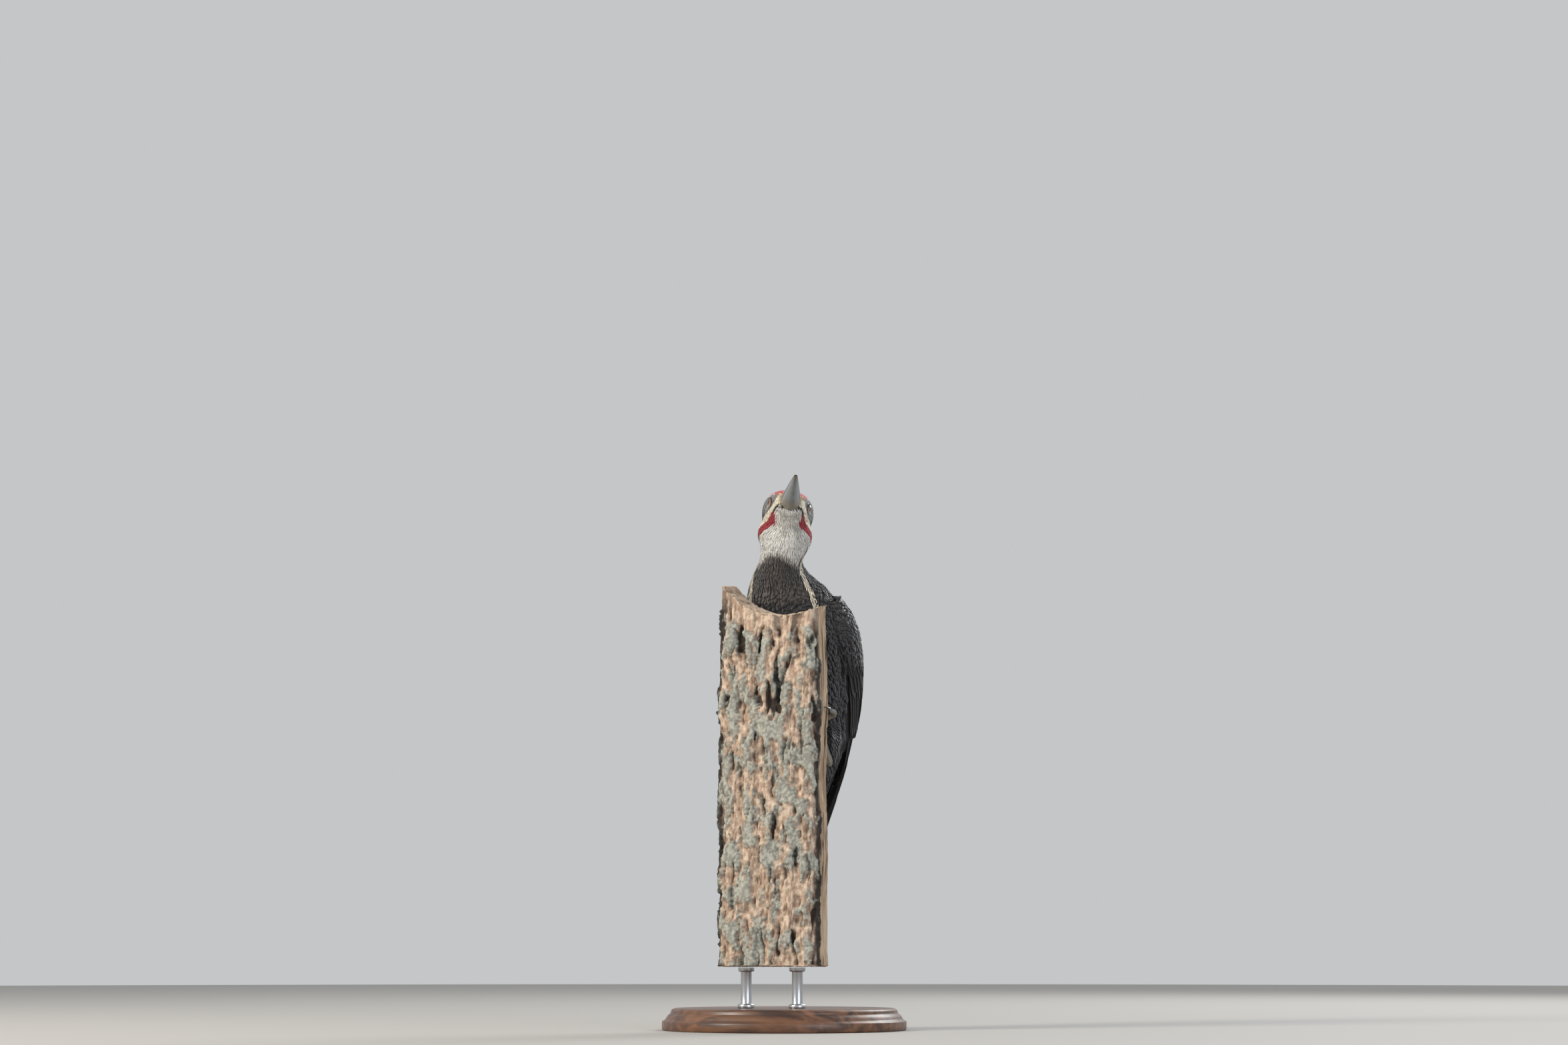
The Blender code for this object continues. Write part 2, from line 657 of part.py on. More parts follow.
def toe_paths():
    """Each toe of the left foot, as points from the foot to its claw's root, and its claw's points."""
    on_face = PERCH_BACK + TOE_RADIUS + GAP
    lift = Vector((0, 1, 0)) * MM        # of the knuckles
    heel = FOOT
    edge = perch_edge(FOOT.z) + TOE_RADIUS + 1.2 * MM

    def flat_toe(lean, length, claw):
        """A toe that lies on the back face, leaning this many degrees from straight up towards +X."""
        way = Vector((math.sin(math.radians(lean)), 0, math.cos(math.radians(lean))))
        start = Vector((heel.x, on_face, heel.z))
        toe = [
            heel,
            start + way * length * 0.3 + lift,
            start + way * length * 0.55,
            start + way * length * 0.8 + lift * 0.7,
            start + way * length,
        ]
        root = toe[-1] + way * CLAW_GAP
        nail = [
            root,
            root + way * claw * 0.35 + Vector((0, 1.0 * MM, 0)),
            root + way * claw * 0.7 + Vector((0, 0.4 * MM, 0)),
            root + way * claw + Vector((0, -1.6 * MM, 0)),
        ]
        return toe, nail

    outer = [
        heel,
        Vector((heel.x + 6 * MM, on_face + 0.8 * MM, heel.z + 3 * MM)),
        Vector((edge - 1.2 * MM, on_face - 0.2 * MM, heel.z + 5.5 * MM)),
        Vector((edge + 0.5 * MM, on_face - 6.5 * MM, heel.z + 7 * MM)),
        Vector((edge, on_face - 13 * MM, heel.z + 8 * MM)),
    ]
    root = outer[-1] + Vector((0, -CLAW_GAP, 0))
    outer_nail = [
        root,
        root + Vector((0.9, -3.2, 0.4)) * MM,
        root + Vector((0.3, -6.2, 0.8)) * MM,
        root + Vector((-1.7, -8.6, 1.2)) * MM,
    ]
    return {
        "inner": flat_toe(-24, 19 * MM, 10 * MM),
        "middle": flat_toe(8, 25 * MM, 11 * MM),
        "outer": (outer, outer_nail),
        "hind": flat_toe(-160, 11 * MM, 7 * MM),
    }


def make_leg(parts, guides, side, scales, horn):
    """The bare shank, the foot and its claws; gives back the shank."""
    label = "left" if side > 0 else "right"

    def shank_tube(name, collection, low, high, count):
        shares = spread(low, high, count)
        path = [mirrored(ANKLE.lerp(FOOT, share), side) for share in shares]
        widths = [along(SHANK_SWELL, share)[0] * SHANK_RADIUS for share in shares]
        return tube(name, collection, scales, path, widths)

    shank = baked(shank_tube("shank_" + label, parts, 0, SHANK_END, 9))
    pieces = [shank_tube("stub", guides, SHANK_END + 2 * GAP / (FOOT - ANKLE).length, 1, 3)]
    for name, (toe, nail) in toe_paths().items():
        path = [mirrored(point, side) for point in smooth_path(toe, 3)]
        pieces.append(tube("toe", guides, scales, path, [TOE_RADIUS * w for w in TOE_SWELL]))
        path = [mirrored(point, side) for point in smooth_path(nail, 2)]
        sharp = spread(1.0, CLAW_POINT, len(path))
        claw = tube(f"claw_{name}_{label}", parts, horn, path, [CLAW_RADIUS * w for w in sharp], sides=6)
        baked(claw)
    melted("foot_" + label, parts, scales, pieces, *FOOT_MELT)
    return shank


def make_thigh(parts, guides, side, trunk, shank, black):
    """The feathered drumstick between the belly and the bare shank."""
    label = "left" if side > 0 else "right"
    knee = THIGH_TOP.lerp(ANKLE, 0.5) + KNEE_OUT
    path = smooth_path([THIGH_TOP, knee, ANKLE.lerp(THIGH_TOP, 0.06)], 4)
    widths = [radius * MM for radius in THIGH_RADII]
    thigh = tube("thigh_" + label, parts, black, [mirrored(p, side) for p in path], widths)
    thigh = baked(thigh)
    carve(thigh, swollen(trunk, "trunk_and_gap_" + label, guides, GAP))
    carve(thigh, swollen(shank, "shank_and_gap_" + label, guides, GAP))
    thigh = baked(thigh)
    smooth_but_for_edges(thigh.data)


def turned(name, collection, material, profile, sides, x=0.0, y=0.0):
    """A solid turned round an upright axis, from (radius, height) pairs in metres."""
    rings = []
    for radius, height in profile:
        angles = [2 * math.pi * i / sides for i in range(sides)]
        rings.append([Vector((x + radius * math.cos(a), y + radius * math.sin(a), height)) for a in angles])
    return loft(name, collection, material, rings)


def make_stand(parts, board, steel):
    profile = [((BOARD_RADIUS - inside) * MM, height * MM) for inside, height in BOARD_PROFILE]
    turned("stand_base", parts, board, profile, BOARD_SIDES)
    low, high = BOARD_PROFILE[-1][1] * MM + GAP, PERCH_BOTTOM - GAP
    middle = PERCH_BACK - PERCH_THICKNESS / 2
    for side, label in ((1, "left"), (-1, "right")):
        rod = [(ROD_RADIUS, low), (ROD_RADIUS, high)]
        turned("stand_rod_" + label, parts, steel, rod, ROD_SIDES, side * ROD_X, middle)


def main():
    clear_scene()
    parts = new_collection("Pileated woodpecker")
    guides = new_collection("Guides")
    black = finish("Black plumage", BLACK, 0.55)
    red = finish("Red plumage", RED, 0.6)
    horn = finish("Horn", HORN, 0.35)
    scales = finish("Scaly skin", SCALES, 0.5)
    amber = finish("Eye", AMBER, 0.08)
    wood = finish("Palm wood", PALM, 0.9)
    board = finish("Stained board", STAINED, 0.4)
    steel = finish("Brushed steel rod", STEEL, 0.35, 1.0)

    trunk = make_trunk(parts, black)
    neck, head, whole = make_neck_and_head(parts, guides, black)
    make_bill(parts, horn)
    make_eyes(parts, guides, head, amber)
    make_crest(parts, guides, whole, red)
    make_tail(parts, black)
    make_perch(parts, wood)
    for side in (1, -1):
        make_wing(parts, side, black)
        shank = make_leg(parts, guides, side, scales, horn)
        make_thigh(parts, guides, side, trunk, shank, black)
    make_stand(parts, board, steel)


main()
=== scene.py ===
# %% [markdown]
# # A pileated woodpecker, feather by feather
# The solids that come with this lesson are plain: a bird in about thirty closed pieces, behind a length of
# palm trunk on a stand. This script gives them their looks. It grows a coat of single feathers over one skin,
# models the bill, the eyes and the scaly feet, roughens the palm bark and sets up a small studio.
# Every size is in metres, and `MM` turns millimetres into them.

# %% Load the solids
import itertools
import math
from functools import partial

import bmesh
import bpy
import numpy as np
from mathutils import Matrix, Vector, noise
from mathutils.bvhtree import BVHTree


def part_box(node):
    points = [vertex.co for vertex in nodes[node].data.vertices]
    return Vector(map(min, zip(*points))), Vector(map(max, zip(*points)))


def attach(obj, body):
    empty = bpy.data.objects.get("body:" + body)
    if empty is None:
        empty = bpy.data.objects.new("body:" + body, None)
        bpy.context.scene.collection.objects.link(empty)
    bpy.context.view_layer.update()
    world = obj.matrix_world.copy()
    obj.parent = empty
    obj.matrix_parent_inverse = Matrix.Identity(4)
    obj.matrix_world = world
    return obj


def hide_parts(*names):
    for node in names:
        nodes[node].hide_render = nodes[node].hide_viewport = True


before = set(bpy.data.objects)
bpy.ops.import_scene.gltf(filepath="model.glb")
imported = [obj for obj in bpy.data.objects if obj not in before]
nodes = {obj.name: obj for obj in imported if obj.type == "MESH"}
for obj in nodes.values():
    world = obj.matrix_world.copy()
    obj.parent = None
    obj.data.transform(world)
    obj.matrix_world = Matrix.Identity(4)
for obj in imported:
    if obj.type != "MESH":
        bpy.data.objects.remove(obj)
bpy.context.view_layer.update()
MM = 0.001
SEED = 11
random = np.random.default_rng(SEED)
noise.seed_set(SEED)         # the vector noise draws its place in the field at random; this fixes it
print("solids:", len(nodes))

# %% [markdown]
# Two sets of axes make the rest easy to say. The head is turned, so its features are placed in head axes:
# forward along the bill, left, and up, from the point midway between the eyes. The eyes and the bill's tip
# give those axes. The body stands upright, so a place on it is a height and an angle round a centre line,
# where 0 degrees is the belly, 90 the bird's left side and 180 its back.

# %% Head axes
EYE_FORWARD = 2.2 * MM       # the eyes' centres lie this far ahead of the head's origin
BILL_DROOP = 6.4 * MM        # the bill's tip lies this far below the axis through the eyes


def middle(name):
    """The middle of a solid's box."""
    low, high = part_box(name)
    return (low + high) / 2


def corners(*names):
    """The corner points of these solids, as an array."""
    return np.array([tuple(v.co) for name in names for v in nodes[name].data.vertices])


left_eye, right_eye = middle("eye_left"), middle("eye_right")
head_left = (left_eye - right_eye).normalized()
between_eyes = (left_eye + right_eye) / 2
bill_points = corners("bill_upper")
reach = np.linalg.norm(bill_points - np.array(between_eyes), axis=1)
bill_tip = Vector(bill_points[reach.argmax()])
along_bill = bill_tip - between_eyes
along_bill -= head_left * along_bill.dot(head_left)
droop = math.asin(BILL_DROOP / along_bill.length)
head_forward = (Matrix.Rotation(-droop, 3, head_left) @ along_bill).normalized()
head_up = head_forward.cross(head_left)
between_eyes -= head_forward * EYE_FORWARD
HEAD = Matrix.Translation(between_eyes) @ Matrix((head_forward, head_left, head_up)).transposed().to_4x4()
TO_HEAD = HEAD.inverted()
BILL_LENGTH = (TO_HEAD @ bill_tip).x
print("bill tip in head axes, mm:", [round(x / MM, 1) for x in TO_HEAD @ bill_tip])

# %% Body axes
TAIL_SLOPE = 0.29            # how fast the centre line runs back as it rises, below the trunk
BODY_FOOT, BODY_TOP = 0.136, 0.372     # heights between which the middle of the body is measured
SLICE, SLICE_HALF = 0.006, 0.0065      # distance between the slices, and half the thickness of one


def centre_line():
    """Height, x and y of the middle of the body at even steps of height."""
    points = corners("trunk", "neck")
    rows = []
    for height in np.arange(BODY_FOOT, BODY_TOP, SLICE):
        ring = points[abs(points[:, 2] - height) < SLICE_HALF]
        if len(ring) > 3:
            low, high = ring.min(0), ring.max(0)
            rows.append((height, (low[0] + high[0]) / 2, (low[1] + high[1]) / 2))
    rows = np.array(rows)
    rows[1:-1, 1:] = (rows[:-2, 1:] + rows[1:-1, 1:] * 2 + rows[2:, 1:]) / 4
    return rows


SPINE = centre_line()


def spine(height):
    """The x and y of the centre line at this height."""
    if height < SPINE[0, 0]:
        return float(SPINE[0, 1]), float(SPINE[0, 2] + (height - SPINE[0, 0]) * TAIL_SLOPE)
    return tuple(float(np.interp(height, SPINE[:, 0], SPINE[:, k])) for k in (1, 2))


def around(point):
    """The angle round the body, in degrees: 0 belly, 90 left, -90 right, 180 back."""
    x, y = spine(point.z)
    return math.degrees(math.atan2(point.x - x, y - point.y))


# %% [markdown]
# Small helpers come next. Colours are written as sRGB hex codes, the way paint charts give them, and one
# function turns them into the linear values that the shader works with.

# %% Helpers
def linear(code):
    """(r, g, b) of an sRGB hex code, linear."""
    values = [int(code[i:i + 2], 16) / 255 for i in (1, 3, 5)]
    return tuple(v / 12.92 if v <= 0.04045 else ((v + 0.055) / 1.055) ** 2.4 for v in values)


def node(material, kind, inputs=(), **settings):
    """Adds a shader node; inputs pairs each socket with a value or with another node's output."""
    tree = material.node_tree
    made = tree.nodes.new(kind)
    for key, value in settings.items():
        setattr(made, key, value)
    for socket, value in dict(inputs).items():
        if isinstance(value, bpy.types.NodeSocket):
            tree.links.new(value, made.inputs[socket])
        else:
            made.inputs[socket].default_value = value
    return made


def new_material(name, roughness, **sockets):
    """A Principled material; sockets are set straight on its shader."""
    material = bpy.data.materials.new(name)
    material.use_nodes = True
    shader = material.node_tree.nodes["Principled BSDF"]
    shader.inputs["Roughness"].default_value = roughness
    for key, value in sockets.items():
        shader.inputs[key.replace("_", " ")].default_value = value
    return material, shader


def deselect():
    """Leaves nothing selected."""
    for obj in bpy.context.selected_objects:
        obj.select_set(False)


def choose(obj):
    """Selects this object alone and makes it the active one."""
    deselect()
    obj.select_set(True)
    bpy.context.view_layer.objects.active = obj


def mesh_object(name, points, faces, material):
    """A smooth mesh object from lists of points and faces."""
    mesh = bpy.data.meshes.new(name)
    mesh.from_pydata(points, [], faces)
    mesh.materials.append(material)
    mesh.shade_smooth()
    obj = bpy.data.objects.new(name, mesh)
    bpy.context.scene.collection.objects.link(obj)
    return obj


def colour_points(mesh, layer, colours):
    """Stores a linear (r, g, b) for each point of the mesh, under this name."""
    attribute = mesh.color_attributes.new(layer, "FLOAT_COLOR", "POINT")
    attribute.data.foreach_set("color", np.array([(*colour, 1.0) for colour in colours]).ravel())


def grained(name, roughness, layer, grain, fineness, shades, bumps, **sockets):
    """A material coloured by the mesh's colours of this name. A noise of `grain` cycles per metre, with this
    (detail, roughness), takes the colour between two shades and raises bumps of this (strength, depth)."""
    material, shader = new_material(name, roughness, **sockets)
    link = material.node_tree.links.new
    colour = node(material, "ShaderNodeVertexColor", layer_name=layer)
    where = node(material, "ShaderNodeTexCoord")
    noisy = node(
        material, "ShaderNodeTexNoise",
        {"Vector": where.outputs["Object"], "Scale": grain, "Detail": fineness[0], "Roughness": fineness[1]}
    )
    spread = {"From Min": 0.3, "From Max": 0.7, "To Min": shades[0], "To Max": shades[1]}
    level = node(material, "ShaderNodeMapRange", {"Value": noisy.outputs["Fac"], **spread})
    shaded = node(material, "ShaderNodeVectorMath", {0: colour.outputs["Color"]}, operation="SCALE")
    link(level.outputs["Result"], shaded.inputs["Scale"])
    link(shaded.outputs["Vector"], shader.inputs["Base Color"])
    bump = node(
        material, "ShaderNodeBump",
        {"Height": noisy.outputs["Fac"], "Strength": bumps[0], "Distance": bumps[1]}
    )
    link(bump.outputs["Normal"], shader.inputs["Normal"])
    return material


def keep(obj, slot, *replaced):
    """Hangs a finished piece on the root and hides the solids it stands for. slot is not used."""
    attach(obj, "root")
    if replaced:
        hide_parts(*replaced)
    print(obj.name, len(obj.data.polygons), "faces")


def apply_modifiers(obj):
    choose(obj)
    for modifier in list(obj.modifiers):
        bpy.ops.object.modifier_apply(modifier=modifier.name)


def blend(a, b, share):
    """The mix of two colours with this share of the second."""
    share = min(max(share, 0.0), 1.0)
    return tuple(x + (y - x) * share for x, y in zip(a, b))


def step(low, high, value):
    """0 below low, 1 above high, and smooth between."""
    t = min(max((value - low) / (high - low), 0.0), 1.0)
    return t * t * (3 - 2 * t)


# %% [markdown]
# ## Camera, floor and light
# The view is from below and slightly to the bird's left, with a long lens, as one looks up at a nest hole.
# The camera's place follows from the head: so many millimetres below and beside the eyes, at a set distance.

# %% Camera
VIEW_ROUND = math.radians(20)     # towards the bird's left
VIEW_UP = math.radians(11)        # the camera looks up by this much
DISTANCE = 1.75                   # from the eyes to the camera
LENS = 52.2
BELOW_EYES, BESIDE_EYES = 11.3 * MM, 3.85 * MM      # from the eyes to the middle of the view


def add_camera():
    level = math.cos(VIEW_UP)
    to_camera = Vector((math.sin(VIEW_ROUND) * level, -math.cos(VIEW_ROUND) * level, -math.sin(VIEW_UP)))
    right = Vector((math.cos(VIEW_ROUND), math.sin(VIEW_ROUND), 0))
    up = to_camera.cross(right)
    target = between_eyes - right * BESIDE_EYES - up * BELOW_EYES
    camera = bpy.data.objects.new("Camera", bpy.data.cameras.new("Camera"))
    camera.data.lens = LENS
    camera.location = target + to_camera * DISTANCE
    camera.rotation_euler = (-to_camera).to_track_quat("-Z", "Y").to_euler()
    bpy.context.scene.collection.objects.link(camera)
    bpy.context.scene.camera = camera
    print("camera height, mm:", round(camera.location.z / MM))


add_camera()


# %% Floor
FLOOR_RADIUS = 4.0


def add_floor():
    material, shader = new_material("Painted studio floor", 0.75)
    shader.inputs["Base Color"].default_value = (*linear("#aeaca8"), 1)
    deselect()
    bpy.ops.mesh.primitive_circle_add(vertices=64, radius=FLOOR_RADIUS, fill_type="NGON", location=(0, 0, 0))
    floor = bpy.context.active_object
    floor.name = "studio_floor"
    floor.data.materials.append(material)


add_floor()


# %% Lights
def add_light(name, spot, aim, size, power, tint):
    """A round soft lamp at spot, turned to aim; its size is in metres and its power in watts."""
    light = bpy.data.lights.new(name, "AREA")
    light.shape = "DISK"
    light.size = size
    light.energy = power
    light.color = linear(tint)
    obj = bpy.data.objects.new(name, light)
    obj.location = spot
    obj.rotation_euler = (Vector(aim) - Vector(spot)).to_track_quat("-Z", "Y").to_euler()
    bpy.context.scene.collection.objects.link(obj)


add_light("Key", (-1.3, -1.5, 1.25), (0, 0, 0.33), 0.55, 42, "#fff6ea")
add_light("Fill", (1.6, -1.1, 0.7), (0, 0, 0.25), 1.2, 12, "#eaf1ff")
add_light("Back", (0.6, 1.7, 1.4), (0, 0, 0.25), 1.0, 22, "#ffffff")
world = bpy.data.worlds.new("Studio")
world.use_nodes = True
background = world.node_tree.nodes["Background"]
background.inputs["Color"].default_value = (*linear("#dfe1e3"), 1)
background.inputs["Strength"].default_value = 0.75
bpy.context.scene.world = world
bpy.context.scene.view_settings.view_transform = "Standard"

# %% [markdown]
# ## The skin
# A bird's coat grows from one skin, so the flesh solids are joined first. Each is swollen until neighbours
# overlap, a voxel remesh melts them into one closed surface, and that surface is drawn back to the solids'
# own size. It is the outside of the coat. The skin itself lies under it by the depth of the feathers.

# %% Coat surface
FLESH = [
    "trunk", "neck", "head", "crest", "wing_left", "wing_right", "thigh_left", "thigh_right",
    "eye_left", "eye_right",
]
SWELL = 1.8 * MM             # closes the creases between wings, neck and trunk
CLEAR = 0.1 * MM             # a swollen form comes back to its solid's surface and stays out by this much
VOXEL = 1.2 * MM
SKIN_ROUNDS = 4              # rounds of smoothing
MERGED = 1e-5                # corners nearer than this are one
WING_FLESH = 0.196           # below this height a wing is quills only
WING_TAPER = 24 * MM         # over this length above it, the wing's flesh runs out into the trunk
COMBED = 30                  # rounds that even out the way the feathers' bases face


def tree_of(name):
    """The faces of a solid in a tree that finds the nearest one, or the one that a ray meets."""
    mesh = nodes[name].data
    return BVHTree.FromPolygons([v.co for v in mesh.vertices], [p.vertices[:] for p in mesh.polygons])


trees = {name: tree_of(name) for name in FLESH}


def joined(names, swell):
    """The solids' corners and faces as one mesh, each solid swollen by this much."""
    everything = bmesh.new()
    for name in names:
        part = bmesh.new()
        part.from_mesh(nodes[name].data)
        bmesh.ops.remove_doubles(part, verts=part.verts, dist=MERGED)
        if name.startswith("wing"):
            cut = bmesh.ops.bisect_plane(
                part, geom=part.verts[:] + part.edges[:] + part.faces[:], plane_co=(0, 0, WING_FLESH),
                plane_no=(0, 0, 1), clear_inner=True
            )
            edges = [e for e in cut["geom_cut"] if isinstance(e, bmesh.types.BMEdge)]
            bmesh.ops.holes_fill(part, edges=edges)
            for vert in part.verts:
                near = trees["trunk"].find_nearest(vert.co)[0]
                vert.co = vert.co.lerp(near, step(WING_FLESH + WING_TAPER, WING_FLESH, vert.co.z))
        part.normal_update()
        amount = 0 if name.startswith("eye") else swell
        for vert in part.verts:
            vert.co += vert.normal * amount
        mesh = bpy.data.meshes.new("part")
        part.to_mesh(mesh)
        part.free()
        everything.from_mesh(mesh)
        bpy.data.meshes.remove(mesh)
    mesh = bpy.data.meshes.new("joined")
    everything.to_mesh(mesh)
    everything.free()
    return mesh


def melted(name, mesh, voxel, rounds):
    """One closed surface round everything in the mesh, smoothed this many times."""
    obj = bpy.data.objects.new(name, mesh)
    bpy.context.scene.collection.objects.link(obj)
    remesh = obj.modifiers.new("Remesh", "REMESH")
    remesh.mode = "VOXEL"
    remesh.voxel_size = voxel
    smooth = obj.modifiers.new("Smooth", "SMOOTH")
    smooth.factor = 0.5
    smooth.iterations = rounds
    apply_modifiers(obj)
    return obj


def pushed(mesh, amounts):
    """Moves each point of the mesh along its normal."""
    count = len(mesh.vertices)
    points, normals = np.empty(count * 3), np.empty(count * 3)
    mesh.vertices.foreach_get("co", points)
    mesh.vertex_normals.foreach_get("vector", normals)
    points = points.reshape(-1, 3) + normals.reshape(-1, 3) * np.asarray(amounts).reshape(-1, 1)
    mesh.vertices.foreach_set("co", points.ravel())
    mesh.update()


def even_normals(mesh, rounds):
    """The way out at each face, averaged over its surroundings: feathers don't follow every crease."""
    count = len(mesh.vertices)
    normals, ends = np.empty(count * 3), np.empty(len(mesh.edges) * 2, np.int32)
    mesh.vertex_normals.foreach_get("vector", normals)
    mesh.edges.foreach_get("vertices", ends)
    normals, ends = normals.reshape(-1, 3), ends.reshape(-1, 2)
    for _ in range(rounds):
        total = normals * 2
        np.add.at(total, ends[:, 0], normals[ends[:, 1]])
        np.add.at(total, ends[:, 1], normals[ends[:, 0]])
        normals = total / np.linalg.norm(total, axis=1, keepdims=True)
    return [Vector(np.mean(normals[list(p.vertices)], axis=0)).normalized() for p in mesh.polygons]


skin = melted("skin", joined(FLESH, SWELL), VOXEL, SKIN_ROUNDS)
pushed(skin.data, np.full(len(skin.data.vertices), -SWELL + CLEAR))
coat_surface = BVHTree.FromObject(skin, bpy.context.evaluated_depsgraph_get())
way_out = even_normals(skin.data, COMBED)
print("coat surface:", len(skin.data.vertices), "points")


def on_coat(point):
    """The nearest point of the coat's surface, and the way out from it."""
    spot, _, face, _ = coat_surface.find_nearest(point)
    return spot, way_out[face]


# %% [markdown]
# Which solid a place belongs to decides which feathers grow there. The trees of faces answer that.

# %% Owners
def owner(point):
    """The solid that lies nearest."""
    return min(trees, key=lambda name: trees[name].find_nearest(point)[3])


# %% [markdown]
# ## Markings
# The male wears a scarlet cap and crest, a red stripe behind the gape, and a cream stripe that starts at the
# nostril, passes under the eye and runs down the side of the neck. Throat and chin are white, the mask is
# slate, and the rest is sooty black. Each border is a short line in head axes, at heights that change from
# the bill backwards. One function answers for every place, and both skin and feathers ask it.

# %% Colours of the plumage
SCARLET = linear("#c8102a")
CRIMSON = linear("#a01226")
SOOT = linear("#201f21")
SLATE = linear("#3b3a3b")
GREY = linear("#868483")
CREAM = linear("#efe6cf")
WHITE = linear("#edebe6")
OLIVE = linear("#a9a797")
DUSKY = linear("#857b76")
TAN = linear("#cdb08c")
BLEACH_AND_SHEEN = linear("#4a4340")

# Each border: distance forward and height in head axes, in mm, from the back of the head to the bill.
CAP_EDGE = [(-40, 16), (-24, 11.5), (-14, 10.8), (-5, 9.6), (4, 8.0), (10, 5.6), (15, 3.0), (20, 1.6)]
STRIPE_TOP = [
    (-30, -11.5), (-20, -10.4), (-12, -8.8), (-4, -7.2), (4.7, -5.6), (12, -3.4), (17, -1.2), (21, 0.4),
]
STRIPE_FOOT = [(-30, -18.5), (-20, -17.0), (-9, -13.8), (2, -10.8), (12, -8.3), (20, -6.4)]
MALAR_FOOT = [(-30, -26), (-16, -23.2), (-9, -20.6), (2, -16.8), (8, -13.8), (11, -10.6), (20, -7.8)]
MALAR_FRONT = 11             # in front of this only a thin dark line runs on to the corner of the bill
MALAR_BACK = -15             # the red ends here, and black runs on behind it
HEAD_BACK = -24              # behind this the neck's own markings hold
THROAT_FOOT = 0.3535         # height where the white bib ends, in metres
FACE_FOOT = 0.364            # above this height in metres, places ahead of the neck have the head's markings
NECK_CHIN = -25              # in head axes, in mm: below this the neck's markings hold everywhere
NOSTRILS = 19                # the tan nasal tufts grow ahead of this
BROW_BACK = 9                # behind this a thin pale line runs under the cap
BROW_HIGH = 1.2
# On the neck, on the bird's left and right: height in mm, angle of the pale stripe from the belly and half
# its width, in degrees. The head is turned, so the two sides reach it at different angles.
STRIPE_LEFT = [
    (298, 56, 0), (304, 54, 3.4), (318, 53, 4), (337, 57, 5), (346, 67, 7), (352, 81, 10), (360, 99, 14),
    (368, 116, 15), (374, 128, 13), (379, 133, 0),
]
STRIPE_RIGHT = [
    (298, 56, 0), (304, 54, 3.4), (318, 53, 4), (337, 57, 5), (346, 65, 7), (352, 72, 9), (360, 80, 13),
    (368, 84, 16), (378, 86, 17), (385, 88, 0),
]
BIB_WAVE, BIB_RAGGED, BIB_FLECK = 3.5 * MM, 1.5 * MM, 2.5 * MM     # how far the bib's edge wanders
BIB_GAP = 9                  # degrees of black between the bib and the pale stripe
BROWN_WIDE, BROWN_FOOT = 50, 325       # the front of the neck is browner (sun-bleached, and a painted sheen of sunlight), to this angle and height in mm


def border(line, forward):
    """The height of a border at this place forward."""
    return float(np.interp(forward, [p[0] for p in line], [p[1] for p in line]))


def on_neck(height, angle):
    """Colour on the neck and the body, and the kind of feather."""
    turn = abs(angle)
    high = height / MM
    heights, centres, halves = zip(*(STRIPE_LEFT if angle > 0 else STRIPE_RIGHT))
    centre, half = float(np.interp(high, heights, centres)), float(np.interp(high, heights, halves))
    wave = BIB_WAVE * math.cos(math.radians(angle) * 3)
    bib = THROAT_FOOT + wave + BIB_RAGGED * noise.noise(Vector((angle / 9, 3, 7)))
    fleck = BIB_FLECK * noise.noise(Vector((angle / 3, high, 5)))
    if height > bib - 2 * MM and turn < centre - half - BIB_GAP:
        return blend(WHITE, DUSKY, step(bib + 2.5 * MM, bib - 2 * MM, height + fleck)), "throat"
    if abs(turn - centre) < half:
        return CREAM, "stripe"
    # partly sun-bleached feathers, partly a painted sheen of sunlight on the front of the neck
    if turn < BROWN_WIDE and high > BROWN_FOOT:
        return blend(BLEACH_AND_SHEEN, SOOT, 0.35 + 0.5 * noise.noise(Vector((angle / 14, high / 9, 1)))), "black"
    return SOOT, "black"


def on_head(place):
    """Colour on the head, and the kind of feather, at this place in head axes in mm."""
    forward, up = place.x, place.z
    if up > border(CAP_EDGE, forward):
        return SCARLET, "cap"
    if forward > NOSTRILS and border(STRIPE_TOP, forward) < up + 0.6:
        return TAN, "nasal"
    if up > border(CAP_EDGE, forward) - BROW_HIGH and forward < BROW_BACK:
        return blend(WHITE, GREY, 0.35), "brow"
    if up > border(STRIPE_TOP, forward):
        near_eye = step(13, 6.5, math.hypot(forward - EYE_FORWARD / MM, up))
        ahead = step(-6, 6, forward)
        return blend(SLATE, GREY, max(0.9 * near_eye, 0.75 * ahead)), "mask"
    if up > border(STRIPE_FOOT, forward):
        return CREAM, "stripe"
    ragged = 0.9 * noise.noise(Vector((forward / 1.1, place.y / 2, up / 1.1)))
    if up > border(MALAR_FOOT, forward) + ragged:
        return (CRIMSON, "malar") if MALAR_BACK < forward < MALAR_FRONT else (SOOT, "malar")
    dusk = noise.noise(Vector((forward / 7, place.y / 6, up / 7)))
    return blend(WHITE, OLIVE, max(0.0, 0.16 + 0.6 * dusk)), "throat"


def markings(point):
    """Colour and kind of feather at any place of the coat."""
    place = (TO_HEAD @ point) / MM
    if -40 < place.x < -10 and place.z > border(CAP_EDGE, place.x):
        return SCARLET, "cap"
    along_neck = step(HEAD_BACK - 2, HEAD_BACK + 6, place.x - 0.35 * (place.z + 14))
    if point.z > FACE_FOOT and along_neck > 0.5 and place.z > NECK_CHIN:
        return on_head(place)
    return on_neck(point.z, around(point))


# %% [markdown]
# ## One feather
# A contour feather is a thin blade: a shaft down the middle, a vane on each side, a rounded end. Here it is a
# closed solid with a ridge for the shaft, so it has a real thickness and catches the light along its length.
# Its points are found one by one on the coat's surface. The root sits deep, the end rises to the surface, and
# the next feather's end covers it, like roof tiles laid from the tail up.
# All feathers of a piece go into one mesh. Each gets its own colour, and its own small patch in the `OFBake`
# map at the place of its root, so that a baked picture can colour it.

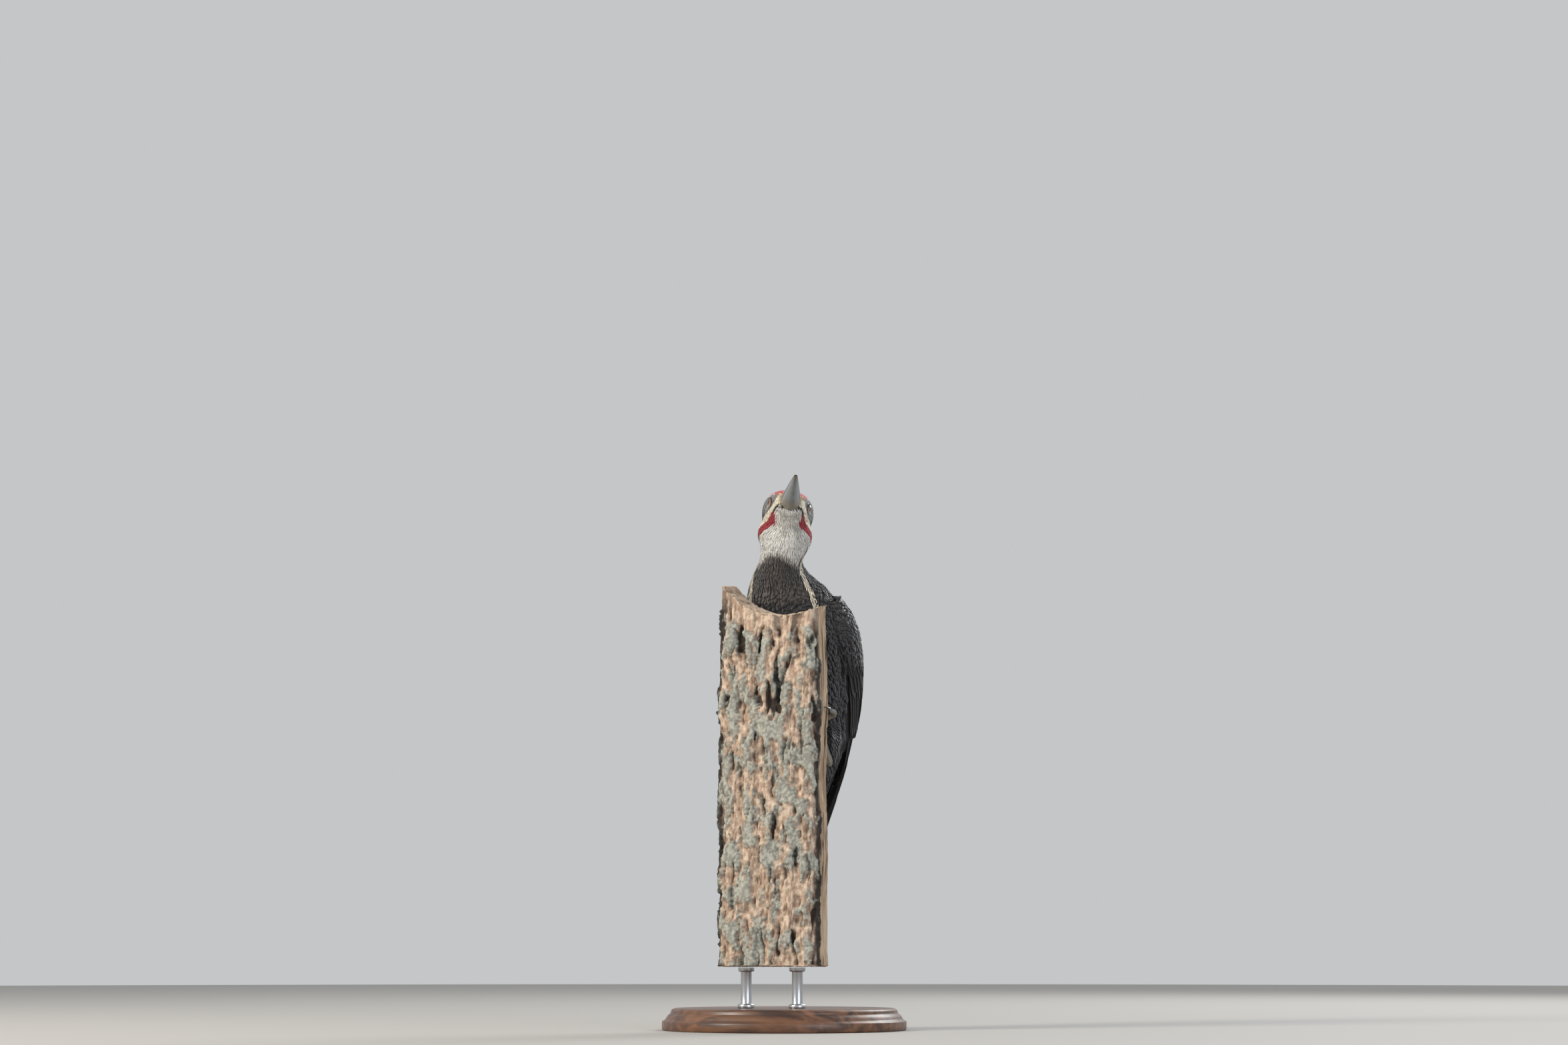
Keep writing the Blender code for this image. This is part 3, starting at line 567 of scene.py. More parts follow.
# %% Feather builder
PATCH = 0.003                # side of a feather's patch in the map
THIN = 0.12 * MM             # thickness at the shaft
CURVE = 22 * MM              # how tightly a vane curls round its shaft
UNBENT = 0.55                # cosine of the sharpest bend allowed in a feather; one that folds is left out
BARB_WIDE = 0.16 * MM
BARBS_FROM = 0.35            # barbs are loose from this share of the length to the end
BARB_INSET = 0.25            # they start this share of the half width in from the edge
BARB_DROOP = 0.08
# Share of the length, and of the half width, at each station of a blade, root first.
ROUND = [(0.0, 0.55), (0.35, 0.95), (0.68, 1.0), (0.88, 0.72), (1.0, 0.0)]
SLIM = [(0.0, 0.8), (0.4, 1.0), (0.75, 0.7), (1.0, 0.0)]
POINTED = [(0.0, 0.7), (0.3, 1.0), (0.6, 0.9), (0.85, 0.5), (1.0, 0.0)]


class Feathers:
    """Collects blades, then makes them one mesh."""

    def __init__(self, name):
        self.name = name
        self.points, self.faces, self.colours, self.patches = [], [], [], []

    def blade(self, rows, tip, colour, patch, tip_colour=None):
        """Closes one blade. rows are (left, ridge, right, belly) points from the root, patch its (u, v)."""
        start = len(self.points)
        count = len(rows)
        for k, row in enumerate(rows):
            share = k / count
            self.points.extend(row)
            shade = blend(colour, tip_colour, share) if tip_colour else colour
            self.colours.extend([shade] * 4)
            for across in (0, 0.5, 1, 0.5):
                self.patches.append((patch[0] + PATCH * across, patch[1] + PATCH * share))
        self.points.append(tip)
        self.colours.append(tip_colour or colour)
        self.patches.append((patch[0] + PATCH / 2, patch[1] + PATCH))
        for k in range(count - 1):
            a, b = start + 4 * k, start + 4 * (k + 1)
            self.faces += [(a, a + 1, b + 1, b), (a + 1, a + 2, b + 2, b + 1)]
            self.faces += [(a + 2, a + 3, b + 3, b + 2), (a + 3, a, b, b + 3)]
        a, end = start + 4 * (count - 1), len(self.points) - 1
        self.faces += [(a, a + 1, end), (a + 1, a + 2, end), (a + 2, a + 3, end), (a + 3, a, end)]
        self.faces.append((start + 3, start + 2, start + 1, start))

    def fray(self, rows, frames, count, width, colour, patch):
        """Loose barbs along the outer half of a blade, each a thin closed spike."""
        last = len(rows) - 1
        for k in range(count):
            side = 1 if k % 2 else -1
            share = BARBS_FROM + (1 - BARBS_FROM) * (k + random.random()) / count
            at = share * last
            low = min(int(at), last - 1)
            part = at - low
            edge = rows[low][1 + side].lerp(rows[low + 1][1 + side], part)
            _, heading, across, normal = frames[low + 1]
            start = edge.lerp(rows[low][1].lerp(rows[low + 1][1], part), BARB_INSET)
            way = heading * (0.55 + 0.5 * share) + across * side * (1.05 - 0.6 * share)
            reach = width * (0.16 + 0.14 * random.random())
            first = len(self.points)
            self.points += [
                start - heading * BARB_WIDE, start + heading * BARB_WIDE, start - normal * BARB_WIDE,
                start + way * reach - normal * reach * BARB_DROOP
            ]
            self.colours += [colour] * 4
            square = ((0, 0), (0, 1), (1, 0), (1, 1))
            self.patches += [(patch[0] + PATCH * u, patch[1] + PATCH * v) for u, v in square]
            faces = [(0, 1, 3), (1, 2, 3), (2, 0, 3), (2, 1, 0)]
            if side < 0:
                faces = [face[::-1] for face in faces]
            self.faces += [tuple(first + i for i in face) for face in faces]

    def made(self, material):
        """The mesh object of all the blades so far."""
        obj = mesh_object(self.name, self.points, self.faces, material)
        mesh = obj.data
        colour_points(mesh, "Markings", self.colours)
        corners_of = np.empty(len(mesh.loops), np.int32)
        mesh.loops.foreach_get("vertex_index", corners_of)
        map_uv = mesh.uv_layers.new(name="OFBake")
        map_uv.data.foreach_set("uv", np.array(self.patches)[corners_of].ravel())
        return obj


def lay(feathers, root, way, length, width, depth, rise, colour, patch, shape, free, tip_colour, barbs):
    """Lays one feather on the coat from its root, hugging the surface, with its end `rise` above it. free is
    the share of its own way that it keeps, away from the surface."""
    rows, frames = [], []
    spot, normal = on_coat(root)
    here = spot
    before = 0.0
    heading = (way - normal * way.dot(normal)).normalized().lerp(way, free).normalized()
    for share, wide in shape:
        target = here + heading * (share - before) * length
        before = share
        spot, normal = on_coat(target)
        if free:
            spot = spot.lerp(target, free * share)
        here = spot
        heading = (heading - normal * heading.dot(normal) * (1 - free)).normalized()
        across = heading.cross(normal).normalized()
        height = -depth + (depth + rise) * share ** 0.75
        ridge = spot + normal * height
        if frames and (ridge - frames[-1][0]).normalized().dot(frames[-1][1]) < UNBENT:
            return
        frames.append((ridge, heading, across, normal))
        if wide == 0.0:
            feathers.blade(rows, ridge, colour, patch, tip_colour)
            feathers.fray(rows, frames, barbs, width, tip_colour or colour, patch)
            return
        half = width / 2 * wide
        droop = normal * (half * half / (2 * CURVE) + 0.05 * half)
        rows.append((
            ridge - across * half - droop, ridge, ridge + across * half - droop, ridge - normal * THIN
        ))


# %% [markdown]
# Feathers don't grow at random: they keep their distance from each other. Points are thrown at the surface
# and kept only where no kept one is nearer than the spacing for that kind of feather.

# %% Roots
def surface_samples(mesh, count):
    """Random points spread evenly over a mesh."""
    mesh.calc_loop_triangles()
    triangles = np.empty(len(mesh.loop_triangles) * 3, np.int32)
    mesh.loop_triangles.foreach_get("vertices", triangles)
    points = np.empty(len(mesh.vertices) * 3)
    mesh.vertices.foreach_get("co", points)
    a, b, c = (points.reshape(-1, 3)[triangles.reshape(-1, 3)[:, k]] for k in range(3))
    areas = np.linalg.norm(np.cross(b - a, c - a), axis=1) / 2
    pick = random.choice(len(areas), count, p=areas / areas.sum())
    u, v = random.random((2, count))
    flip = u + v > 1
    u[flip], v[flip] = 1 - u[flip], 1 - v[flip]
    return a[pick] + (b - a)[pick] * u[:, None] + (c - a)[pick] * v[:, None]


NEIGHBOURS = list(itertools.product((-1, 0, 1), repeat=3))


def within(a, b, distance):
    """Whether two points are nearer to each other than this."""
    d = a - b
    return d[0] * d[0] + d[1] * d[1] + d[2] * d[2] < distance * distance


def spaced(points, spacing):
    """The numbers of the points that are at least this far from every one kept before."""
    grid, kept = {}, []
    for index, point in enumerate(points):
        i, j, k = (int(math.floor(c / spacing)) for c in point)
        around_it = (other for a, b, c in NEIGHBOURS for other in grid.get((i + a, j + b, k + c), ()))
        if not any(within(point, other, spacing) for other in around_it):
            grid.setdefault((i, j, k), []).append(point)
            kept.append(index)
    return kept


# %% Unwrap
PATCH_CELLS = int(1 / PATCH)
UNWRAP_ANGLE = math.radians(66)        # faces that turn by more than this start a new island
taken = set()


def unwrap(obj):
    """Spreads the surface flat in the map called OFBake."""
    choose(obj)
    obj.data.uv_layers.new(name="OFBake")
    bpy.ops.object.mode_set(mode="EDIT")
    bpy.ops.mesh.select_all(action="SELECT")
    bpy.ops.uv.smart_project(angle_limit=UNWRAP_ANGLE, island_margin=0.003)
    bpy.ops.object.mode_set(mode="OBJECT")


def flat_places(obj):
    """The middle of each face on the unwrap."""
    mesh = obj.data
    flat = np.empty(len(mesh.loops) * 2)
    mesh.uv_layers["OFBake"].data.foreach_get("uv", flat)
    starts, totals = np.empty(len(mesh.polygons), np.int32), np.empty(len(mesh.polygons), np.int32)
    mesh.polygons.foreach_get("loop_start", starts)
    mesh.polygons.foreach_get("loop_total", totals)
    return np.add.reduceat(flat.reshape(-1, 2), starts, axis=0) / totals[:, None]


unwrap(skin)
flat = flat_places(skin)


def patch_at(root):
    """A free patch of the map, as near as can be to the root's place on the unwrap."""
    face = coat_surface.find_nearest(root)[2]
    i, j = (int(c / PATCH) for c in flat[face])
    for ring in range(PATCH_CELLS):
        for a in range(-ring, ring + 1):
            for b in (range(-ring, ring + 1) if abs(a) == ring else (-ring, ring)):
                cell = (i + a, j + b)
                if cell not in taken and 0 <= cell[0] < PATCH_CELLS and 0 <= cell[1] < PATCH_CELLS:
                    taken.add(cell)
                    return cell[0] * PATCH, cell[1] * PATCH
    return 0.0, 0.0


print("unwrap spans", flat.min(0).round(2), flat.max(0).round(2))

# %% [markdown]
# ## How feathers lie
# They point away from the bill: back over the face, up and back over the crest, and down the neck and body.
# Round the eye they part, so that no feather lies over it.

# %% Lie of the coat
EYE_CLEAR = 4.5              # no feather comes nearer than this to the eye's axis, in mm
FACE_SIDE = 8                # farther than this from the head's middle plane a feather could reach an eye
STEPS = (0.0, 0.25, 0.5, 0.75, 1.0)    # shares of a feather's length at which its distance is tested
BELLY_HIGH = 0.30            # below this height feathers lean round the body a little, towards the back
LEAN = 0.18


def lie(point, kind):
    """The way a feather points from here."""
    place = (TO_HEAD @ point) / MM
    if kind in ("cap", "crest"):
        return (head_forward * -0.9 + head_up * (0.1 + 0.4 * step(8, -12, place.x))).normalized()
    if kind == "throat":
        over = step(0.352, 0.372, point.z)
        return (Vector((0, 0.08, -1)).lerp(head_forward * -0.8 - head_up * 0.6, over)).normalized()
    x, y = spine(point.z)
    out = Vector((point.x - x, point.y - y, 0)).normalized()
    down = Vector((0, 0.05, -1))
    if point.z < BELLY_HIGH:
        side = Vector((-out.y, out.x, 0)) * (1 if out.x > 0 else -1)
        down = Vector((0, 0.1 - 0.4 * step(0.21, 0.16, point.z), -1)) + side * LEAN * abs(out.x)
    on_face = step(-24, -12, place.x) * step(0.356, 0.374, point.z)
    back = -head_forward - head_up * (0.12 + 0.25 * step(4, -16, place.x))
    way = down.normalized().lerp(back.normalized(), on_face)
    from_eye = Vector((place.x - EYE_FORWARD / MM, place.z))
    near = step(11, 4, from_eye.length) * on_face
    if near > 0 and from_eye.x > -3:
        way = way + head_up * (0.9 * near * (1 if from_eye.y >= 0 else -1))
    return way.normalized()


def clear_length(root, way, length):
    """The length that keeps a feather off the eye; 0 where none may grow."""
    place = (TO_HEAD @ root) / MM
    if abs(place.y) < FACE_SIDE:
        return length
    heading = TO_HEAD.to_3x3() @ way
    for share in STEPS:
        at = place + heading * (length * share / MM)
        if math.hypot(at.x - EYE_FORWARD / MM, at.z) < EYE_CLEAR:
            return 0.0 if share <= STEPS[1] else length * (share - STEPS[1])
    return length


# %% [markdown]
# Each kind of feather has its own size. The table gives the distance between roots, the length, the width,
# the depth of the root under the surface and how far the end may stand up, all in millimetres.

# %% Kinds of feather
KINDS = {
    # kind: spacing, length, width, depth, rise, shape, barbs
    "nasal": (0.6, 4.0, 0.4, 0.5, 0.3, SLIM, 0),
    "mask": (0.66, 2.7, 0.75, 0.8, 0.05, SLIM, 2),
    "brow": (0.62, 2.6, 0.55, 0.6, 0.15, SLIM, 0),
    "stripe": (0.68, 4.2, 0.75, 1.0, 0.15, SLIM, 2),
    "malar": (0.68, 4.0, 0.72, 1.0, 0.1, SLIM, 2),
    "throat": (0.76, 6.5, 0.62, 1.6, 0.3, SLIM, 2),
    "cap": (0.78, 6.5, 0.75, 1.3, 0.15, SLIM, 2),
    "crest": (1.0, 20.0, 1.1, 1.4, 0.5, POINTED, 5),
    "neckline": (1.0, 7.0, 1.0, 1.8, 0.2, SLIM, 2),
    "neck": (1.45, 9.0, 2.0, 2.2, 0.2, POINTED, 8),
    "thigh": (1.5, 7.0, 2.0, 1.6, 0.1, POINTED, 6),
    "breast": (2.1, 14.0, 4.4, 3.0, 0.25, ROUND, 10),
    "back": (2.1, 13.0, 4.6, 2.8, 0.15, ROUND, 8),
    "covert": (2.2, 9.0, 4.4, 1.6, 0.05, ROUND, 6),
}
VENT = 0.150                 # below this height the trunk ends, and no feather grows on its underside
UNDER_TAIL = 0.139           # below this height none grows on the front either: the ones above cover it
VENT_END, VENT_FREE = 0.152, 0.134     # from one height down to the other, feathers come free of the coat
SPREAD = 0.14                # sizes vary by this share
TURNED = 0.09                # and directions by this angle, in radians
ROOTED = 0.45                # a feather's root lies this share of its length behind the place it grows from
CREST_FROM, CREST_FULL = -4, -20       # the crest's feathers grow longer between these places, in mm
CREST_LOOSE, CREST_FREE = -24, -38     # and come free of the head between these
NECK_LOW, NECK_HIGH = 0.312, 0.352     # feathers grow smaller up the neck between these heights
NECK_TOP = NECK_HIGH + 0.02
BEND_TOP = NECK_LOW + 0.015  # below this height a surface that faces up is the wing's bend
BEND_LEVEL, BEND_STEEP = 0.2, 0.6      # how far up it has to face for that to begin, and to count fully
BREAST_WIDE = 100            # the breast's feathers reach round to this angle, in degrees
LESSER_COVERTS = 0.276       # the small coverts of the wing grow above this height
WING_EDGE = 0.45             # and where the wing faces away from the body's side, by this cosine


def kind_at(point):
    """Colour, kind and sizes of the feather that grows here."""
    colour, kind = markings(point)
    name = owner(point)
    if name == "crest" or (kind == "cap" and (TO_HEAD @ point).x / MM < CREST_FROM):
        return SCARLET, "crest", 0.5 + 0.5 * step(CREST_FROM, CREST_FULL, (TO_HEAD @ point).x / MM)
    if name.startswith("thigh"):
        return SOOT, "thigh", 1.0
    if name.startswith("wing"):
        x, y = spine(point.z)
        edge = on_coat(point)[1].dot(Vector((point.x - x, point.y - y, 0)).normalized()) < WING_EDGE
        low = LESSER_COVERTS + 8 * MM * noise.noise(point / (14 * MM))
        return SOOT, "covert" if point.z > low or edge else "bare", 1.0
    if kind == "stripe" and point.z < NECK_TOP:
        return colour, "neckline", 1.0
    if kind == "black" and point.z < NECK_TOP:
        size = 1 - step(NECK_LOW, NECK_HIGH, point.z)
        if size < 0.5:
            return colour, "neck", 0.8 + 0.4 * (0.5 - size)
        return colour, "breast" if abs(around(point)) < BREAST_WIDE else "back", 0.8 + 0.4 * (size - 0.5)
    return colour, kind if kind in KINDS else "neck", 1.0


THROWN = 110000              # points thrown at the skin for each piece of the coat


def roots(kinds, low):
    """Places of all the feathers of these kinds above this height: (point, colour, size) and kind."""
    found = {kind: [] for kind in kinds}
    for point in surface_samples(skin.data, THROWN):
        if point[2] < low:
            continue
        spot = Vector(point)
        colour, kind, size = kind_at(spot)
        if kind in found:
            found[kind].append((spot, colour, size))
    result = []
    for kind, all_here in found.items():
        kept = spaced(np.array([tuple(p[0]) for p in all_here]), KINDS[kind][0] * MM)
        result += [(all_here[i], kind) for i in kept]
    return result


def varied(colour, amount):
    """The colour, lighter or darker by up to this share."""
    light = 1 + amount * (random.random() * 2 - 1)
    return tuple(c * light for c in colour)


def grow(name, slot, material, kinds, low):
    """One piece of the coat: all the feathers of these kinds that grow on the skin above this height."""
    feathers = Feathers(name)
    for (spot, colour, size), kind in roots(kinds, low):
        _, length, width, depth, rise, shape, barbs = KINDS[kind]
        near, normal = on_coat(spot)
        if near.z < VENT and normal.z < -0.8 or near.z < UNDER_TAIL and normal.y < 0.3:
            continue
        if kind == "crest":
            free = 0.75 * step(CREST_LOOSE, CREST_FREE, (TO_HEAD @ near).x / MM)
            longer = 1 - 0.7 * free
        else:
            free = step(VENT_END, VENT_FREE, near.z)
            longer = 1 + 0.35 * free * step(-0.2, 0.4, normal.y)
        way = Matrix.Rotation(random.normal(0, TURNED), 3, normal) @ lie(near, kind)
        change = 1 + SPREAD * random.normal()
        bend = step(BEND_LEVEL, BEND_STEEP, normal.z) if near.z < BEND_TOP else 0.0
        longer *= 1 - 0.5 * bend
        reach = clear_length(near, way, length * change * size * longer * MM)
        if reach > 0:
            lay(
                feathers, near - way * reach * ROOTED * (1 - bend), way, reach, width * change * size * MM,
                depth * MM, rise * MM * random.random(), varied(colour, 0.14), patch_at(near), shape, free,
                varied(colour, 0.2), barbs
            )
    keep(feathers.made(material), slot)


# %% [markdown]
# ## Plumage
# Feathers are keratin. The dark ones have a faint silky shine along their barbs, the red and white ones are
# dull and soft. The colour comes from the attribute that the feathers carry, and a fine streaky noise breaks
# it up. Barbs are a quarter of a millimetre apart, too fine to show, so they are drawn about twice as coarse.

# %% Plumage finish
BARB_GRAIN = 1800.0          # cycles per metre
STREAK = 0.12                # how much the streaks lighten and darken a feather


def plumage(name, roughness):
    """A finish for feathers, coloured by their markings."""
    return grained(
        name, roughness, "Markings", BARB_GRAIN, (3.0, 0.5), (1 - STREAK, 1 + STREAK), (0.35, 0.0003),
        Sheen_Weight=0.25, Sheen_Roughness=0.45
    )


black_plumage = plumage("Black contour feathers", 0.5)
face_plumage = plumage("Short face feathers", 0.75)
red_plumage = plumage("Scarlet crest feathers", 0.62)

# %% Head feathers
HEAD_FROM, NECK_FROM, BODY_FROM = 0.33, 0.25, 0.10     # heights above which each piece looks for its kinds
FACE_KINDS = ["nasal", "mask", "brow", "stripe", "malar", "throat"]
grow("face_feathers", "plumage_face", face_plumage, FACE_KINDS, HEAD_FROM)
grow("crown_feathers", "plumage_red", red_plumage, ["cap", "crest"], HEAD_FROM)

# %% Neck and body feathers
grow("neck_feathers", "plumage_black", black_plumage, ["neck", "neckline"], NECK_FROM)
grow("breast_feathers", "plumage_black", black_plumage, ["breast", "thigh"], BODY_FROM)
grow("back_feathers", "plumage_black", black_plumage, ["back", "covert"], BODY_FROM)


# %% [markdown]
# ## Wing and tail quills
# A folded wing shows its long quills as a stack of straight-edged vanes. The tertials lie on top near the
# back, the secondaries under them, and the primaries lowest, with their ends reaching out beyond the rest.
# Rows of coverts tile over their roots. Each quill is a closed vane of its own, swept down the outside of
# the wing, where a place is a height and a share of the way from the wing's front edge to its back edge.

# %% Wing surface
QUILL_THIN = 0.22 * MM
QUILL_CURVE = 90 * MM        # a vane's own roundness
BURIED = 1.3 * MM            # how much deeper a vane's root lies than its tip
ROOT_END = 0.25              # a vane reaches its full width at this share of its length
JET, JET_WORN, FRINGE = linear("#1b1a1d"), linear("#2b2725"), linear("#77726a")
FAR = 0.12                   # rays start this far from the centre line, outside the wings
trees["tail"] = tree_of("tail")


def wing_ray(side, name, height, angle):
    """Where a ray towards the centre line from outside, at this angle in degrees, meets the wing."""
    x, y = spine(height)
    out = Vector((math.sin(math.radians(angle)) * side, -math.cos(math.radians(angle)), 0))
    return trees[name].ray_cast(Vector((x, y, height)) + out * FAR, -out, FAR)[0]


def wing_edges(side, name):
    """Height, and the angles of the front and the back edge there."""
    rows = []
    for height in np.arange(0.100, 0.319, 0.006):
        seen = [angle for angle in np.arange(50, 182, 1.5) if wing_ray(side, name, height, angle)]
        if len(seen) > 1:
            rows.append((height, seen[0], seen[-1]))
    return np.array(rows)


HEIGHTS, SHARES = 40, 15     # points up the grid and across it
EVENED = 3                   # rounds that even it out


def wing_grid(side, name):
    """The outside of the wing as a smoothed grid of points, from the tip up and from front to back."""
    rows = wing_edges(side, name)
    grid = np.zeros((HEIGHTS, SHARES, 3))
    for i, height in enumerate(np.linspace(rows[0, 0], rows[-1, 0], HEIGHTS)):
        low, high = (float(np.interp(height, rows[:, 0], rows[:, k])) for k in (1, 2))
        spot = None
        for j, share in enumerate(np.linspace(0.03, 0.97, SHARES)):
            spot = wing_ray(side, name, height, low + (high - low) * share) or spot
            grid[i, j] = spot or grid[i - 1, j]
    for _ in range(EVENED):
        grid[1:-1] = (grid[:-2] + grid[1:-1] * 2 + grid[2:]) / 4
        grid[:, 1:-1] = (grid[:, :-2] + grid[:, 1:-1] * 2 + grid[:, 2:]) / 4
    return rows[0, 0], rows[-1, 0], grid


WINGS = {side: wing_grid(side, name) for side, name in ((1, "wing_left"), (-1, "wing_right"))}


def on_wing(side, height, share):
    """The outside of the wing at this height and share across, and the way out from it."""
    bottom, top, grid = WINGS[side]
    i = min(max((height - bottom) / (top - bottom), 0), 1) * (HEIGHTS - 1)
    j = min(max(share, 0), 1) * (SHARES - 1)
    a, b = min(int(i), HEIGHTS - 2), min(int(j), SHARES - 2)
    u, v = i - a, j - b
    low = grid[a, b] + (grid[a, b + 1] - grid[a, b]) * v
    high = grid[a + 1, b] + (grid[a + 1, b + 1] - grid[a + 1, b]) * v
    across = (grid[a, b + 1] - grid[a, b]) * (1 - u) + (grid[a + 1, b + 1] - grid[a + 1, b]) * u
    normal = Vector(across).cross(Vector(high - low)).normalized() * side
    spot = Vector(low + (high - low) * u)
    x, y = spine(height)
    out = Vector((spot.x - x, spot.y - y, 0)).normalized()
    return spot, (normal if normal.dot(out) > 0 else -normal).lerp(out, 0.4).normalized()


# %% One quill
def quill(feathers, surface, path, width, colour, level=0.0, stations=14, root=0.55, tip=0.14, roll=0.0,
          tip_colour=None, shaft=0.25):
    """Sweeps one long vane. surface(*path(share)) is a point and the way out from it. root is the share of
    the width at the root, and tip the share of the length that rounds off. level sinks the vane, roll raises
    one of its edges over the next vane, and shaft raises its middle by so many millimetres."""
    places = [surface(*path(k / stations)) for k in range(stations + 1)]
    start = len(feathers.points)
    patch = patch_at(places[0][0])
    dark_shaft = blend(colour, (0, 0, 0), 0.35)
    ridge = -shaft * MM
    # Round the vane: the place across it in half widths, and how far it lies below the vane's middle surface.
    section = [(-1, 0), (-0.5, 0), (0, ridge), (0.5, 0), (1, 0)] + [(b, QUILL_THIN) for b in (0.5, 0, -0.5)]
    ring = len(section)
    for k, (spot, normal) in enumerate(places):
        share = k / stations
        after = places[min(k + 1, stations)][0]
        before = places[max(k - 1, 0)][0]
        heading = (after - before).normalized()
        normal = (normal - heading * normal.dot(heading)).normalized()
        across = heading.cross(normal)
        grow_out = root + (1 - root) * min(share / ROOT_END, 1)
        round_off = math.sqrt(max(1 - max((share - (1 - tip)) / tip, 0) ** 2, 0.004))
        half = width / 2 * grow_out * round_off
        centre = spot - normal * (level + BURIED * (1 - share) ** 3)
        shade = tip_colour if tip_colour and share > 0.99 else colour
        for turn, thick in section:
            wide = half * turn
            drop = wide * wide / (2 * QUILL_CURVE) - roll * turn + thick
            feathers.points.append(centre + across * wide - normal * drop)
            feathers.patches.append((patch[0] + PATCH * (turn + 1) / 2, patch[1] + PATCH * share))
        edge = blend(shade, FRINGE, 0.16)
        feathers.colours += [edge, shade, dark_shaft, shade, edge, shade, shade, shade]
    for k in range(stations):
        a, b = start + ring * k, start + ring * (k + 1)
        for i in range(ring):
            j = (i + 1) % ring
            feathers.faces.append((a + i, a + j, b + j, b + i))
    feathers.faces.append(tuple(start + i for i in reversed(range(ring))))
    feathers.faces.append(tuple(start + ring * stations + i for i in range(ring)))


def straight(start, end, bow=0.0):
    """A path from one (height, share) to another, bowed sideways in the middle."""
    return lambda t: (
        start[0] + (end[0] - start[0]) * t, start[1] + (end[1] - start[1]) * t + bow * math.sin(math.pi * t)
    )


def later(path, skipped):
    """The same path without its first part, which other vanes hide and which might poke through them."""
    return lambda t: path(skipped + (1 - skipped) * t)


# %% Quills of one wing
PRIMARY_TIPS = [148, 139, 130, 120, 111, 104, 100, 103, 117]        # innermost first, heights in mm
SECONDARY_TIPS = [158, 156, 154, 153, 152, 151]
TERTIAL_TIPS = [182, 172, 163]
HIDDEN = 0.2                 # share of a vane that others cover
UNDER_SECONDARIES = 4        # so many of the innermost primaries lie under the secondaries for longer
UNDER_TERTIALS = 3           # the secondaries from this number on lie under the tertials for longer
QUILL_VARIED, COVERT_VARIED = 0.12, 0.15       # how much lighter or darker one vane is than the next


def wing_quills(name, side):
    """The primaries, the secondaries over them and the tertials on top. part is a quill's share of the way
    from one end of its row to the other."""
    feathers = Feathers(name)
    surface = partial(on_wing, side)
    roll = 0.75 * MM * side
    count = len(PRIMARY_TIPS)
    for k in reversed(range(count)):
        part = k / (count - 1)
        tip = (PRIMARY_TIPS[k] * MM, 0.70 - 0.48 * part)
        path = straight((0.268 + 0.008 * part, 0.42 - 0.34 * part), tip)
        path = later(path, 0.58 if k < UNDER_SECONDARIES else 0.22)
        quill(
            feathers, surface, path, (13.5 - 4 * part) * MM, varied(JET, QUILL_VARIED),
            level=(1.2 + 0.6 * part) * MM, tip=0.10, tip_colour=FRINGE, roll=roll
        )
    for k, tip in enumerate(reversed(SECONDARY_TIPS)):
        part = k / (len(SECONDARY_TIPS) - 1)
        path = straight((0.262, 0.38 + 0.30 * part), (tip * MM, 0.62 + 0.28 * part), 0.03)
        path = later(path, 0.45 if k >= UNDER_TERTIALS else HIDDEN)
        quill(
            feathers, surface, path, 16 * MM, varied(JET, QUILL_VARIED),
            level=(0.95 - 0.3 * part) * MM, tip=0.12, roll=roll
        )
    for k, tip in enumerate(reversed(TERTIAL_TIPS)):
        part = k / (len(TERTIAL_TIPS) - 1)
        path = later(straight((0.268, 0.72 + 0.16 * part), (tip * MM, 0.86 + 0.08 * part), 0.03), HIDDEN)
        quill(
            feathers, surface, path, 17 * MM, varied(JET_WORN, QUILL_VARIED),
            level=(0.55 - 0.2 * part) * MM, tip=0.2, roll=roll
        )
    return feathers


# %% Coverts of one wing
# Each row: root height, tip height, first and last share, how many, width, level, all lengths in mm, and the
# share of its length that the row above hides.
COVERT_ROWS = [
    (284, 224, 0.04, 0.30, 8, 7.5, 0.3, 0.3),
    (281, 231, 0.30, 0.95, 13, 10.5, 0.1, 0.3),
    (292, 254, 0.04, 0.95, 17, 8.5, -0.1, 0.3),
    (300, 270, 0.04, 0.95, 17, 8.0, -0.2, 0.4),
]
COVERT_SLANT = 10            # how much lower a row ends at the wing's front edge than at its back, in mm


def wing_coverts(feathers, side):
    """Rows of coverts from the lowest up, each tiling over the one before."""
    surface = partial(on_wing, side)
    for high, low, first, last, count, width, level, skipped in COVERT_ROWS:
        for k in range(count):
            share = first + (last - first) * k / (count - 1)
            jitter = random.normal(0, 1.3)
            end = low + jitter + COVERT_SLANT * (share - 0.5)
            path = later(straight(((high + jitter) * MM, share - 0.02), (end * MM, share + 0.03)), skipped)
            quill(
                feathers, surface, path, width * MM, varied(JET, COVERT_VARIED), level=level * MM, stations=7,
                tip=0.34, shaft=0.15, roll=0.6 * MM * side
            )


for side, side_name in ((1, "left"), (-1, "right")):
    wing = wing_quills("wing_quills_" + side_name, side)
    wing_coverts(wing, side)
    keep(wing.made(black_plumage), "plumage_black")

# %% [markdown]
# The tail is the bird's third leg. Its quills are stiff and pointed, with thick shafts, and lean on the
# trunk. The middle pair is the longest and lies on top, seen from behind.

# %% Tail quills
RECTRIX_TIPS = [45.5, 49, 56, 67, 83]  # heights in mm, the middle pair first
TAIL_MARGIN = 0.97           # quills reach this share of the way to the tail's edges
TAIL_NARROWS = 0.1           # how fast it narrows above its solid's top
COVERT_TOP, COVERT_FOOT = 0.141, 0.113         # heights of the coverts under the tail
tail_points = corners("tail")


